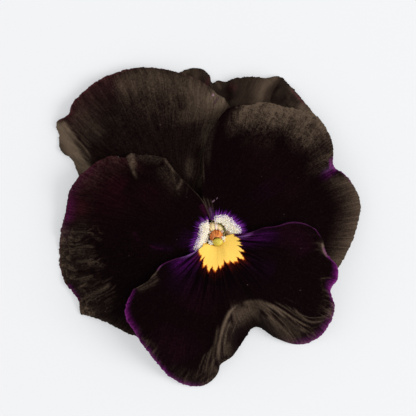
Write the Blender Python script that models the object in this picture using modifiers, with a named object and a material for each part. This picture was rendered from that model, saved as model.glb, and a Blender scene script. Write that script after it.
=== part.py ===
"""A single pansy bloom, picked and laid face up on its back.

+Z points up out of the flower's face, and +Y runs from the lower petal towards the two upper ones.
Lengths are in millimetres and become metres where a mesh is made. Petals are drawn round the throat,
and the whole bloom is then moved so that the origin lies under its middle, on the surface it rests on.
"""

import math
from dataclasses import dataclass

import bmesh
import bpy
import numpy as np
from mathutils import Matrix, Vector

MM = 0.001

# The bloom as a whole: a low dome of petals in layers, lowest at the back
THROAT = (1.38, -2.35)  # where the throat stands on the surface
FACE_HEIGHT = 11.6  # the front layer above the surface, over the throat
LAYER_STEP = 1.4  # from each layer of petals down to the next
DROOP = 0.0055  # how fast the dome falls with the square of the distance from the throat
PETAL_THICK = 0.6
SEAT_GAP = 0.3  # between pieces that lie on each other

# Petal grids
ACROSS = 32  # steps from one side of a petal to the other
BLADE_STEPS = 9  # steps from the throat to the rim
CLAW_STEPS = 2  # steps down the narrow claw, from the throat to the receptacle
THROAT_SHARE = 0.2  # share of a petal's length that rises from its lip to the dome
LIFT_POWER = 3.4  # how late towards the rim a petal leaves the dome
RIPPLES, RIPPLE_HEIGHT = 7, 0.28  # waves along each rim

# The green parts and the organs in the throat
RECEPTACLE = (0.0, 2.1)
RECEPTACLE_RADIUS = 2.9
RECEPTACLE_TOP = 4.6
RECEPTACLE_THICK = 1.5
FOOT_HEIGHT = RECEPTACLE_TOP + SEAT_GAP
SEPAL_WIDTH = 3.7
SEPAL_THICK = 0.6
SEPAL_ANGLES = (90, 158, 22, 221, 319)
STALK_RADIUS = 0.9
COLUMN_FOOT = (0.0, 3.0)
COLUMN_LEAN = 35  # degrees that the stamens and pistil lean towards the lower petal
COLUMN_SLANT = 3  # and towards the right
STAMENS = 5
SPUR_CENTRE = (0.3, -2.4)
SPUR_RADIUS = 1.5
SPUR_WALL = 0.5
SPUR_MOUTH_RADIUS = 2.1
SPUR_TOP = 5.2
BEARD_ROWS, BEARD_COLUMNS = 3, 10  # hairs across and along each lip
BEARD_PAD = 0.5  # thickness of what the hairs stand on


@dataclass
class Petal:
    """A petal by the curves round it. layer 0 is at the front. lift is how far the rim leaves the dome."""

    name: str
    layer: int
    foot: list  # x, y, z along the claw's end
    neck: list  # x, y, z along the middle of the claw
    lip: list  # x, y, z along the edge at the throat
    first_side: list  # x, y from the lip's first end out to the rim
    last_side: list  # x, y from the lip's last end out to the rim
    rim: list  # x, y, lift, counterclockwise
    phase: float  # of the ripples along the rim


LOWER = Petal(
    name="petal_lower",
    layer=0,
    foot=[(-1.1, -2.8, 4.3), (0.3, -3.9, 4.3), (1.7, -2.8, 4.3)],
    neck=[(-1.8, -0.4, 7.1), (-1.5, -2.0, 6.5), (0.4, -3.0, 6.2), (2.2, -1.9, 6.5), (2.4, -0.2, 7.1)],
    lip=[
        (-2.6, -1.8, 10.4),
        (-1.7, -1.4, 9.7),
        (-0.7, -1.5, 8.8),
        (0.5, -1.6, 8.4),
        (1.8, -1.0, 8.8),
        (2.5, 0.1, 9.3),
        (3.4, 0.6, 9.8),
        (4.6, 0.85, 10.2),
    ],
    first_side=[(-4.0, -2.65), (-6.0, -3.6), (-8.5, -4.3), (-11.1, -5.5), (-14.0, -8.9)],
    last_side=[(6.4, 1.0), (10.0, 2.2), (13.0, 2.6), (15.6, 3.4), (18.5, 3.1)],
    rim=[
        (-17.1, -10.7, -0.2),
        (-18.9, -15.5, -0.6),
        (-16.3, -20.7, -1.4),
        (-13.7, -24.5, -2.8),
        (-8.2, -29.8, -5.0),
        (-4.7, -31.0, -5.9),
        (-2.4, -30.7, -5.7),
        (0.4, -29.0, -5.2),
        (3.0, -25.5, -5.6),
        (5.3, -22.9, -6.4),
        (8.6, -18.9, -7.4),
        (13.0, -20.8, -7.1),
        (17.5, -22.1, -6.9),
        (19.7, -21.8, -5.7),
        (22.6, -20.0, -3.8),
        (24.6, -17.1, -2.2),
        (25.2, -14.7, -1.6),
        (24.4, -10.4, -0.8),
        (25.5, -9.0, -0.8),
        (25.4, -5.5, -0.4),
        (23.9, -4.1, -0.1),
        (23.0, -2.2, 0.0),
        (22.4, -0.3, 0.0),
        (21.0, 1.9, 0.0),
    ],
    phase=0.3,
)
LEFT = Petal(
    name="petal_left",
    layer=1,
    foot=[(-2.2, 3.3, FOOT_HEIGHT), (-2.5, 2.4, FOOT_HEIGHT), (-2.4, 1.5, FOOT_HEIGHT)],
    neck=[(-1.9, 3.6, 7.1), (-2.3, 2.0, 7.1), (-2.8, 0.1, 7.0)],
    lip=[(-1.4, 4.0, 9.4), (-1.8, 1.6, 9.2), (-2.3, 0.2, 8.7), (-3.0, -1.0, 8.0)],
    first_side=[(-1.9, 5.5), (-3.3, 7.9), (-5.3, 10.5), (-8.1, 13.7)],
    last_side=[(-4.3, -3.2), (-5.5, -7.0), (-6.5, -11.0)],
    rim=[
        (-10.3, 16.7, 0.0),
        (-13.0, 17.5, 0.1),
        (-17.6, 17.9, 0.5),
        (-18.9, 16.9, 0.2),
        (-21.6, 17.3, 0.0),
        (-24.3, 16.3, -0.1),
        (-26.7, 14.6, -0.3),
        (-28.9, 12.7, -0.6),
        (-30.8, 9.6, -1.2),
        (-31.6, 5.5, -2.0),
        (-32.4, 2.1, -2.8),
        (-32.8, -3.2, -3.8),
        (-32.6, -6.6, -3.9),
        (-31.5, -9.5, -3.7),
        (-28.8, -13.6, -3.4),
        (-28.3, -15.8, -3.9),
        (-27.0, -16.6, -4.1),
        (-24.3, -17.4, -4.2),
        (-21.1, -18.9, -4.0),
        (-18.0, -20.4, -3.6),
        (-14.0, -20.5, -2.6),
        (-10.0, -18.5, -1.6),
        (-7.4, -14.5, -0.8),
    ],
    phase=1.9,
)
RIGHT = Petal(
    name="petal_right",
    layer=1,
    foot=[(2.4, 1.5, FOOT_HEIGHT), (2.5, 2.4, FOOT_HEIGHT), (2.2, 3.3, FOOT_HEIGHT)],
    neck=[(3.7, 0.5, 7.0), (2.8, 2.2, 7.1), (1.6, 3.7, 7.1)],
    lip=[(5.4, -0.5, 8.1), (3.8, 1.0, 8.7), (2.6, 2.3, 9.1), (1.3, 3.6, 9.3), (-0.1, 4.5, 9.5)],
    first_side=[(9.0, -3.1), (13.5, -6.5)],
    last_side=[(-1.9, 8.4), (-2.4, 13.3), (-2.1, 18.1), (-1.1, 21.9)],
    rim=[
        (18.0, -10.5, -0.8),
        (22.5, -10.5, -1.4),
        (25.6, -6.9, -1.4),
        (28.0, -2.7, -1.4),
        (29.8, 2.9, -1.4),
        (30.3, 7.4, -1.4),
        (28.5, 12.1, -0.6),
        (26.8, 13.8, 0.1),
        (25.0, 14.9, 0.5),
        (24.9, 17.2, -0.3),
        (24.9, 19.5, -0.9),
        (23.0, 23.9, -0.9),
        (20.8, 26.3, -0.4),
        (15.2, 27.5, -0.1),
        (9.2, 28.5, 0.2),
        (7.3, 27.9, 0.0),
        (5.4, 28.0, 0.1),
        (2.9, 27.3, 0.3),
        (0.8, 25.1, 0.3),
    ],
    phase=4.2,
)
UPPER_LEFT = Petal(
    name="petal_upper_left",
    layer=2,
    foot=[(-0.4, 4.5, FOOT_HEIGHT), (-1.0, 4.3, FOOT_HEIGHT), (-1.6, 4.0, FOOT_HEIGHT)],
    neck=[(-0.3, 4.9, 6.5), (-1.1, 4.7, 6.5), (-1.9, 4.3, 6.5)],
    lip=[(0.0, 5.4, 8.0), (-1.2, 5.1, 8.0), (-2.4, 4.8, 8.0)],
    first_side=[(2.4, 10.0), (4.0, 17.0), (4.4, 23.5)],
    last_side=[(-9.0, 6.0), (-16.0, 8.5)],
    rim=[
        (3.1, 27.7, 0.0),
        (1.7, 29.4, 0.0),
        (0.5, 30.4, 0.1),
        (-0.9, 31.7, 0.2),
        (-5.0, 34.2, 0.7),
        (-10.2, 35.3, 1.0),
        (-15.3, 35.8, 1.6),
        (-21.0, 35.0, 2.4),
        (-24.9, 33.2, 2.7),
        (-27.8, 31.0, 2.9),
        (-30.4, 28.0, 2.8),
        (-31.0, 26.2, 2.3),
        (-33.3, 24.3, 1.6),
        (-32.5, 21.9, 0.2),
        (-32.6, 18.4, -0.7),
        (-30.6, 16.9, -1.6),
        (-28.5, 12.8, -2.1),
        (-24.0, 10.0, -1.4),
    ],
    phase=5.1,
)
UPPER_RIGHT = Petal(
    name="petal_upper_right",
    layer=3,
    foot=[(1.6, 4.0, FOOT_HEIGHT), (1.0, 4.3, FOOT_HEIGHT), (0.4, 4.5, FOOT_HEIGHT)],
    neck=[(2.2, 4.3, 5.9), (1.4, 4.7, 5.9), (0.6, 5.0, 5.9)],
    lip=[(2.8, 4.6, 6.9), (1.9, 5.1, 6.9), (0.9, 5.4, 6.9)],
    first_side=[(10.0, 9.0), (16.0, 14.0)],
    last_side=[(-2.0, 11.0), (-7.0, 19.0)],
    rim=[
        (21.0, 19.0, 0.0),
        (22.0, 23.0, 0.0),
        (20.6, 26.8, 0.3),
        (18.6, 29.2, 0.6),
        (16.4, 31.8, 0.7),
        (13.5, 34.3, 0.4),
        (11.0, 33.7, 0.6),
        (7.6, 33.8, 1.4),
        (3.9, 33.4, 0.4),
        (2.0, 32.7, -0.4),
        (0.5, 33.0, -0.5),
        (-0.5, 32.3, -0.7),
        (-1.4, 34.0, -0.4),
        (-2.6, 35.2, -0.1),
        (-5.2, 35.6, 0.0),
        (-8.0, 34.3, -0.1),
        (-11.0, 31.0, 0.0),
        (-13.0, 27.0, 0.0),
    ],
    phase=2.7,
)
PETALS = (LOWER, LEFT, RIGHT, UPPER_LEFT, UPPER_RIGHT)

# Colours in linear light, roughness and metallic value
FINISHES = {
    "petal_black": ((0.012, 0.004, 0.008, 1), 0.8, 0),
    "calyx_green": ((0.12, 0.24, 0.05, 1), 0.55, 0),
    "pistil_green": ((0.62, 0.58, 0.09, 1), 0.4, 0),
    "anther_cream": ((0.72, 0.56, 0.28, 1), 0.6, 0),
    "anther_orange": ((0.55, 0.18, 0.04, 1), 0.55, 0),
    "beard_white": ((0.86, 0.80, 0.64, 1), 0.7, 0),
}


def start_empty():
    """Clears the scene and makes a collection for the bloom."""
    for thing in list(bpy.data.objects):
        bpy.data.objects.remove(thing)
    bloom = bpy.data.collections.new("pansy_bloom")
    bpy.context.scene.collection.children.link(bloom)
    return bloom


def finish(name):
    colour, roughness, metallic = FINISHES[name]
    material = bpy.data.materials.new(name)
    material.use_nodes = True
    shader = material.node_tree.nodes["Principled BSDF"]
    shader.inputs["Base Color"].default_value = colour
    shader.inputs["Roughness"].default_value = roughness
    shader.inputs["Metallic"].default_value = metallic
    return material


def smooth_run(points, count):
    """count points, evenly spaced along a smooth curve through the given ones."""
    points = np.array(points, float)
    steps = np.linalg.norm(np.diff(points, axis=0), axis=1)
    at = np.concatenate([[0.0], np.cumsum(steps)])
    slopes = np.gradient(points, at, axis=0)
    where = np.linspace(0, at[-1], 40 * len(points))
    left = np.clip(np.searchsorted(at, where, side="right") - 1, 0, len(steps) - 1)
    gap = steps[left, None]
    t = (where - at[left])[:, None] / gap
    run = (
        (2 * t**3 - 3 * t**2 + 1) * points[left]
        + (t**3 - 2 * t**2 + t) * gap * slopes[left]
        + (3 * t**2 - 2 * t**3) * points[left + 1]
        + (t**3 - t**2) * gap * slopes[left + 1]
    )
    travelled = np.concatenate([[0.0], np.cumsum(np.linalg.norm(np.diff(run, axis=0), axis=1))])
    even = np.linspace(0, travelled[-1], count)
    return np.stack([np.interp(even, travelled, run[:, k]) for k in range(run.shape[1])], axis=1)


def patch(lip, rim, first_side, last_side):
    """Points spread smoothly between four curves: an array by steps outwards and steps across."""
    out = np.linspace(0, 1, len(first_side))[:, None, None]
    across = np.linspace(0, 1, len(lip))[None, :, None]
    between_ends = (1 - out) * lip[None] + out * rim[None]
    between_sides = (1 - across) * first_side[:, None] + across * last_side[:, None]
    corners = (1 - out) * ((1 - across) * lip[0] + across * lip[-1])
    corners = corners + out * ((1 - across) * rim[0] + across * rim[-1])
    return between_ends + between_sides - corners


def dome(layer, x, y):
    """Height of a layer of petals above the surface."""
    return FACE_HEIGHT - LAYER_STEP * layer - DROOP * (x**2 + y**2)


def petal_points(petal):
    """The petal's middle surface, in an array by steps outwards, steps across and x, y, z."""
    foot = smooth_run(petal.foot, ACROSS + 1)
    lip = smooth_run(petal.lip, ACROSS + 1)
    rim = smooth_run(petal.rim, ACROSS + 1)
    first_side = [petal.lip[0][:2], *petal.first_side, petal.rim[0][:2]]
    last_side = [petal.lip[-1][:2], *petal.last_side, petal.rim[-1][:2]]
    places = patch(
        lip[:, :2],
        rim[:, :2],
        smooth_run(first_side, BLADE_STEPS + 1),
        smooth_run(last_side, BLADE_STEPS + 1),
    )
    out = np.linspace(0, 1, BLADE_STEPS + 1)[:, None]
    across = np.linspace(0, 1, ACROSS + 1)[None]
    height = dome(petal.layer, places[..., 0], places[..., 1])
    sunk = dome(petal.layer, lip[:, 0], lip[:, 1]) - lip[:, 2]
    height = height - sunk * np.clip(1 - out / THROAT_SHARE, 0, 1) ** 2
    height = height + rim[:, 2] * out**LIFT_POWER
    waves = np.sin(2 * math.pi * RIPPLES * across + petal.phase)
    height = height + RIPPLE_HEIGHT * waves * out**LIFT_POWER
    blade = np.concatenate([places, np.maximum(height, PETAL_THICK / 2)[..., None]], axis=2)
    neck = smooth_run(petal.neck, ACROSS + 1)
    claw = []
    for step in range(CLAW_STEPS):
        t = step / CLAW_STEPS
        claw.append((1 - t) * (1 - 2 * t) * foot + 4 * t * (1 - t) * neck + t * (2 * t - 1) * blade[0])
    return np.concatenate([claw, blade])


def placed(points):
    """Points drawn round the throat, in metres from the origin."""
    return (np.asarray(points, float) + (*THROAT, 0.0)) * MM


def sheet(name, points, thickness):
    """A closed blade: a grid bent to the points, split into triangles and given a thickness."""
    outwards, across = points.shape[0] - 1, points.shape[1] - 1
    bpy.ops.mesh.primitive_grid_add(x_subdivisions=outwards, y_subdivisions=across, size=1)
    blade = bpy.context.object
    blade.name = name
    in_place = placed(points)
    for vertex in blade.data.vertices:
        row = round((vertex.co.x + 0.5) * outwards)
        column = round((vertex.co.y + 0.5) * across)
        vertex.co = in_place[row, column]
    blade.modifiers.new("split", "TRIANGULATE")
    thicken = blade.modifiers.new("thickness", "SOLIDIFY")
    thicken.thickness = thickness * MM
    thicken.offset = 0
    return blade


def as_mesh(thing, merge=0.001):
    """Replaces an object by the mesh that its modifiers or its curve make, in the scene's own frame."""
    bpy.context.view_layer.update()
    evaluated = thing.evaluated_get(bpy.context.evaluated_depsgraph_get())
    mesh = bpy.data.meshes.new_from_object(evaluated)
    mesh.transform(thing.matrix_world)
    name = thing.name
    bpy.data.objects.remove(thing)
    shaped = bmesh.new()
    shaped.from_mesh(mesh)
    bmesh.ops.remove_doubles(shaped, verts=shaped.verts, dist=merge * MM)
    shaped.to_mesh(mesh)
    shaped.free()
    solid = bpy.data.objects.new(name, mesh)
    bpy.context.scene.collection.objects.link(solid)
    return solid


def joined(name, pieces, solver="EXACT"):
    """One body made of several that overlap."""
    first, *others = [as_mesh(piece) for piece in pieces]
    group = bpy.data.collections.new(name + "_pieces")
    for other in others:
        bpy.context.scene.collection.objects.unlink(other)
        group.objects.link(other)
    union = first.modifiers.new("union", "BOOLEAN")
    union.operation = "UNION"
    union.operand_type = "COLLECTION"
    union.collection = group
    union.solver = solver
    body = as_mesh(first, merge=0)
    body.name = name
    for other in others:
        bpy.data.objects.remove(other)
    bpy.data.collections.remove(group)
    return body


def keep(thing, bloom, material, smooth_angle=40):
    """Puts a finished piece in the bloom with its material and smooth shading."""
    for collection in list(thing.users_collection):
        collection.objects.unlink(thing)
    bloom.objects.link(thing)
    thing.data.materials.clear()
    thing.data.materials.append(material)
    thing.data.shade_smooth()
    thing.data.set_sharp_from_angle(angle=math.radians(smooth_angle))
    return thing


def turned_cup():
    """The spur: a hollow sac, open at the throat, whose blunt end is pressed flat on the surface."""
    outer, inner = SPUR_RADIUS, SPUR_RADIUS - SPUR_WALL
    profile = [
        (SPUR_MOUTH_RADIUS, SPUR_TOP),
        (outer, SPUR_TOP - 1.0),
        (outer, 1.7),
        (outer - 0.2, 0.7),
        (outer - 0.6, 0.0),
        (0.0, 0.0),
        (0.0, SPUR_WALL + 0.1),
        (inner - 0.4, SPUR_WALL + 0.2),
        (inner, 1.6),
        (inner, SPUR_TOP - 1.0),
        (SPUR_MOUTH_RADIUS - SPUR_WALL, SPUR_TOP),
    ]
    mesh = bpy.data.meshes.new("spur")
    on_axis = 5  # the profile runs round from here back to the point before it, both on the axis
    edges = [(i, (i + 1) % len(profile)) for i in range(len(profile)) if i != on_axis]
    mesh.from_pydata([(x * MM, 0, z * MM) for x, z in profile], edges, [])
    spur = bpy.data.objects.new("spur", mesh)
    bpy.context.scene.collection.objects.link(spur)
    spur.location = placed((*SPUR_CENTRE, 0))
    screw = spur.modifiers.new("turn", "SCREW")
    screw.steps = screw.render_steps = 20
    screw.use_merge_vertices = True
    screw.merge_threshold = 0.0001
    return spur


def make_petals(bloom, material):
    for petal in PETALS:
        blade = sheet(petal.name, petal_points(petal), PETAL_THICK)
        if petal is LOWER:
            blade = joined(petal.name, [blade, turned_cup()])
        else:
            blade = as_mesh(blade)
        for vertex in blade.data.vertices:
            vertex.co.z = max(vertex.co.z, 0)  # the lowest rims lie flat on the surface
        keep(blade, bloom, material)


def sepal(angle):
    """A lance-shaped sepal with the short ear that pansy sepals have behind their base."""
    spine = smooth_run(
        [(1.9, 0.7), (2.2, 2.3), (2.2, 3.6), (3.9, 4.6), (7.6, 5.2), (12.0, 4.9), (15.4, 4.2)], 15
    )
    half_widths = np.interp(
        np.linspace(0, 1, 15),
        [0, 0.06, 0.14, 0.22, 0.45, 0.7, 0.9, 1],
        np.array([0.50, 0.62, 0.45, 0.42, 1.0, 0.86, 0.42, 0.06]) * SEPAL_WIDTH / 2,
    )
    across = np.linspace(-1, 1, 5)
    turn = math.radians(angle)
    outward = np.array([math.cos(turn), math.sin(turn), 0])
    sideways = np.array([-math.sin(turn), math.cos(turn), 0])
    points = np.empty((15, 5, 3))
    for row, ((reach, height), half_width) in enumerate(zip(spine, half_widths)):
        for column, share in enumerate(across):
            cupped = 0.35 * half_width * (1 - share**2)
            points[row, column] = outward * reach + sideways * share * half_width
            points[row, column] += (*RECEPTACLE, height - cupped + 0.2)
    return sheet("sepal", points, SEPAL_THICK)


def stalk():
    """The stub of the flower stalk, hooked back from the receptacle and pinched off."""
    route = [(0, 2.1, 3.6), (0, 2.7, 2.2), (0.2, 4.4, 1.2), (0.8, 8.0, 0.95), (1.5, 13.0, 0.95)]
    curve = bpy.data.curves.new("stalk", "CURVE")
    curve.dimensions = "3D"
    curve.bevel_depth = STALK_RADIUS * MM
    curve.bevel_resolution = 2
    curve.use_fill_caps = True
    line = curve.splines.new("POLY")
    points = placed(smooth_run(route, 14))
    line.points.add(len(points) - 1)
    for point, place in zip(line.points, points):
        point.co = (*place, 1)
    thing = bpy.data.objects.new("stalk", curve)
    bpy.context.scene.collection.objects.link(thing)
    return thing


def ball(name, centre, radii, segments=12, rings=8):
    """An ellipsoid at a place drawn round the throat."""
    bpy.ops.mesh.primitive_uv_sphere_add(segments=segments, ring_count=rings, radius=1)
    thing = bpy.context.object
    thing.name = name
    thing.matrix_world = Matrix.Translation(placed(centre)) @ Matrix.Diagonal((*(r * MM for r in radii), 1))
    return thing


def make_calyx(bloom, material):
    """Receptacle, sepals and stalk, which grow as one."""
    middle = RECEPTACLE_TOP - RECEPTACLE_THICK / 2
    radii = (RECEPTACLE_RADIUS, RECEPTACLE_RADIUS, RECEPTACLE_THICK / 2)
    receptacle = ball("receptacle", (*RECEPTACLE, middle), radii, 20, 8)
    sepals = [sepal(angle) for angle in SEPAL_ANGLES]
    calyx = joined("calyx_and_stalk", [receptacle, *sepals, stalk()], solver="MANIFOLD")
    for vertex in calyx.data.vertices:
        vertex.co.z = max(vertex.co.z, 0)
    keep(calyx, bloom, material)


def column_frame():
    """From the column's own frame, +Z along it from its foot, to the scene's, in millimetres."""
    lean = Matrix.Rotation(math.radians(COLUMN_LEAN), 4, "X")
    slant = Matrix.Rotation(math.radians(COLUMN_SLANT), 4, "Y")
    return Matrix.Translation((*COLUMN_FOOT, FOOT_HEIGHT + 0.2)) @ lean @ slant


def on_column(name, along, outward, angle, radii, segments=12, rings=8, splay=0.0, spin=0.0):
    """An ellipsoid beside the column's axis, facing out at an angle. spin turns its facets on its own axis."""
    bpy.ops.mesh.primitive_uv_sphere_add(segments=segments, ring_count=rings, radius=1)
    thing = bpy.context.object
    thing.name = name
    to_metres = Matrix.Diagonal((MM, MM, MM, 1))
    local = (
        Matrix.Rotation(math.radians(angle), 4, "Z")
        @ Matrix.Translation((outward, 0, along))
        @ Matrix.Rotation(math.radians(splay), 4, "Y")
        @ Matrix.Diagonal((*radii, 1))
        @ Matrix.Rotation(math.radians(spin), 4, "Z")
    )
    thing.matrix_world = to_metres @ Matrix.Translation((*THROAT, 0)) @ column_frame() @ local
    return thing


def make_organs(bloom, materials):
    """Pistil in the middle, five anthers round it, and the anthers' orange tips round the style."""
    ovary = on_column("ovary", 1.5, 0, 0, (0.6, 0.6, 1.45))
    style = on_column("style", 4.4, 0, 0, (0.24, 0.24, 2.3), 8, 6, spin=11)
    stigma = on_column("stigma", 6.6, 0.2, 0, (1.0, 0.8, 0.75), 16, 10)
    keep(joined("pistil", [ovary, style, stigma]), bloom, materials["pistil_green"])
    lobes = []
    tips = []
    for i in range(STAMENS):
        turn = 90 + 360 * i / STAMENS
        for side in (-21, 21):
            spin = 9 * i + side / 3
            lobes.append(on_column("lobe", 2.3, 1.2, turn + side, (0.32, 0.58, 1.4), 10, 7, spin=spin))
        tips.append(on_column("tip", 4.5, 1.0, turn, (0.19, 0.88, 0.68), 10, 6, splay=-14, spin=7 * i))
    keep(joined("stamens", lobes), bloom, materials["anther_cream"])
    keep(joined("anther_tips", tips), bloom, materials["anther_orange"])


def make_beard(name, petal, share_from, share_to, bloom, material):
    """A brush of short hairs on a side petal's lip, standing on a thin pad that follows the lip."""
    grid = petal_points(petal)
    reach = slice(round(ACROSS * share_from), round(ACROSS * share_to) + 1, 2)
    inner, outer = grid[CLAW_STEPS, reach], grid[CLAW_STEPS + 1, reach]
    width = np.linalg.norm(outer - inner, axis=1, keepdims=True)
    outwards = (outer - inner) / width
    up = np.cross(outwards, np.gradient(inner, axis=0))
    up = up / np.linalg.norm(up, axis=1, keepdims=True)
    clear = PETAL_THICK / 2 + SEAT_GAP + BEARD_PAD / 2
    shares = np.array([0.1, 1.2, 2.3])[:, None, None]
    surface = inner + up * clear + outwards * shares
    pad = sheet(name, surface, BEARD_PAD)
    draw = np.random.default_rng(11 + len(petal.rim))
    pieces = [pad]
    rows = np.linspace(0.12, 0.88, BEARD_ROWS) * (surface.shape[0] - 1)
    columns = np.linspace(0.04, 0.96, BEARD_COLUMNS) * (surface.shape[1] - 1)
    for row in rows:
        for column in columns:
            at_row, at_column = row + draw.uniform(-0.06, 0.06), column + draw.uniform(-0.2, 0.2)
            root = between(surface, at_row, at_column)
            lean = Vector((draw.normal(0, 0.18), draw.normal(0, 0.18), 1)).normalized()
            pieces.append(hair(root, lean, 0.95 + 0.35 * draw.random()))
    keep(joined(name, pieces), bloom, material)


def between(surface, row, column):
    """The point of a grid of points at a place between its rows and columns."""
    row = min(max(row, 0), surface.shape[0] - 1.001)
    column = min(max(column, 0), surface.shape[1] - 1.001)
    r, c = int(row), int(column)
    near = surface[r, c] + (surface[r, c + 1] - surface[r, c]) * (column - c)
    far = surface[r + 1, c] + (surface[r + 1, c + 1] - surface[r + 1, c]) * (column - c)
    return near + (far - near) * (row - r)


def hair(root, direction, length):
    """A blunt three-sided hair with its root sunk in the pad."""
    bpy.ops.mesh.primitive_cone_add(vertices=3, radius1=0.13 * MM, radius2=0.09 * MM, depth=length * MM)
    thing = bpy.context.object
    middle = Vector(placed(root)) + direction * (length / 2 - 0.2) * MM
    thing.matrix_world = Matrix.Translation(middle) @ direction.to_track_quat("Z", "Y").to_matrix().to_4x4()
    return thing


def build():
    bloom = start_empty()
    materials = {name: finish(name) for name in FINISHES}
    make_petals(bloom, materials["petal_black"])
    make_calyx(bloom, materials["calyx_green"])
    make_organs(bloom, materials)
    make_beard("beard_left", LEFT, 0.0, 0.63, bloom, materials["beard_white"])
    make_beard("beard_right", RIGHT, 0.44, 1.0, bloom, materials["beard_white"])


build()
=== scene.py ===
# %% [markdown]
# # A black pansy, face up
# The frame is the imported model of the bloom, in metres, with +Z out of the flower's face. Every piece
# made here stands in that frame. Sizes below are in millimetres, drawn round the throat as on the
# model, and are turned into metres only where a mesh is made.

# %% Load the frame
import math
from dataclasses import dataclass, field

import bpy
import numpy as np
from mathutils import Matrix, Vector


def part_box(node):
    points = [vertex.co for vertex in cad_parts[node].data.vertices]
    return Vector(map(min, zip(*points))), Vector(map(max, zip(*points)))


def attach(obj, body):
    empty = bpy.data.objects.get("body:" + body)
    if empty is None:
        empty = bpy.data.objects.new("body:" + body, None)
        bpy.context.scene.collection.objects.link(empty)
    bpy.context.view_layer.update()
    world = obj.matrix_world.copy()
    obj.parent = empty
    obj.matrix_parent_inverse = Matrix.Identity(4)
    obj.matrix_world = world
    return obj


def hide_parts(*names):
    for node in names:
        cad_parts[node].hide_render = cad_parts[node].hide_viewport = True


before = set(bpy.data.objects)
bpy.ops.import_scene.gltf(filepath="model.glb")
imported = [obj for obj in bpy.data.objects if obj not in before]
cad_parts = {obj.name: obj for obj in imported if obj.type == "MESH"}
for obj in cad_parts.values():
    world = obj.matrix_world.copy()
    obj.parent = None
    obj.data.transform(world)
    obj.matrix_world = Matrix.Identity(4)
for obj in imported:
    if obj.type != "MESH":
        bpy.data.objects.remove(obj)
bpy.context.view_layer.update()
MM = 0.001
THROAT = np.array([1.38, -2.35, 0.0])  # where the throat stands on the surface
for node in sorted(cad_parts):
    low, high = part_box(node)
    print(node, "is", " x ".join(f"{(high[k] - low[k]) / MM:.1f}" for k in range(3)), "mm")

# %% [markdown]
# ## The camera first
# The photo looks straight down from well above, so a long lens is used: rims that stand at different
# heights then hardly shift against each other. The frame is 87 mm wide at the height of the rims.

# %% The camera
PHOTO_WIDTH = 87.4  # mm across the frame
RIM_HEIGHT = 6.0  # the height where that width holds
LENS, SENSOR = 200.0, 36.0
FRAME_MIDDLE = (-0.09, 3.95)


def add_camera():
    data = bpy.data.cameras.new("view_from_above")
    data.lens = LENS
    data.sensor_width = SENSOR
    data.clip_start = 0.01
    camera = bpy.data.objects.new("view_from_above", data)
    distance = PHOTO_WIDTH * LENS / SENSOR
    camera.location = (FRAME_MIDDLE[0] * MM, FRAME_MIDDLE[1] * MM, (RIM_HEIGHT + distance) * MM)
    bpy.context.scene.collection.objects.link(camera)
    bpy.context.scene.camera = camera
    return distance


camera_height = add_camera()
print("the camera is", round(camera_height), "mm above the rims")

# %% [markdown]
# ## Shader maths as Python
# A node tree is easier to read as a sum. `Signal` wraps one output socket, so that arithmetic on it
# adds Math nodes. `Finish.node` makes every node: its settings first, then its inputs.


# %% Signals and finishes
class Signal:
    """One output of a node. Arithmetic on it adds Math nodes."""

    def __init__(self, finish, socket):
        self.finish = finish
        self.socket = socket

    def maths(self, operation, *values, clamp=False):
        return self.finish.node("ShaderNodeMath", {"operation": operation, "use_clamp": clamp}, *values)

    def __add__(self, other):
        return self.maths("ADD", self, other)

    __radd__ = __add__

    def __mul__(self, other):
        return self.maths("MULTIPLY", self, other)

    def __sub__(self, other):
        return self.maths("SUBTRACT", self, other)

    def __rsub__(self, other):
        return self.maths("SUBTRACT", other, self)

    def __truediv__(self, other):
        return self.maths("DIVIDE", self, other)

    def __pow__(self, other):
        return self.maths("POWER", self, other)

    def clamped(self):
        return self.maths("ADD", self, 0.0, clamp=True)

    def most(self, other):
        return self.maths("MAXIMUM", self, other)

    def size(self):
        return self.maths("ABSOLUTE", self)

    def sine(self):
        return self.maths("SINE", self)

    def rise(self, start, end):
        """0 below start, 1 above end, smooth between."""
        settings = {"interpolation_type": "SMOOTHSTEP"}
        return self.finish.node("ShaderNodeMapRange", settings, self, start, end, 0.0, 1.0)


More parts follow.
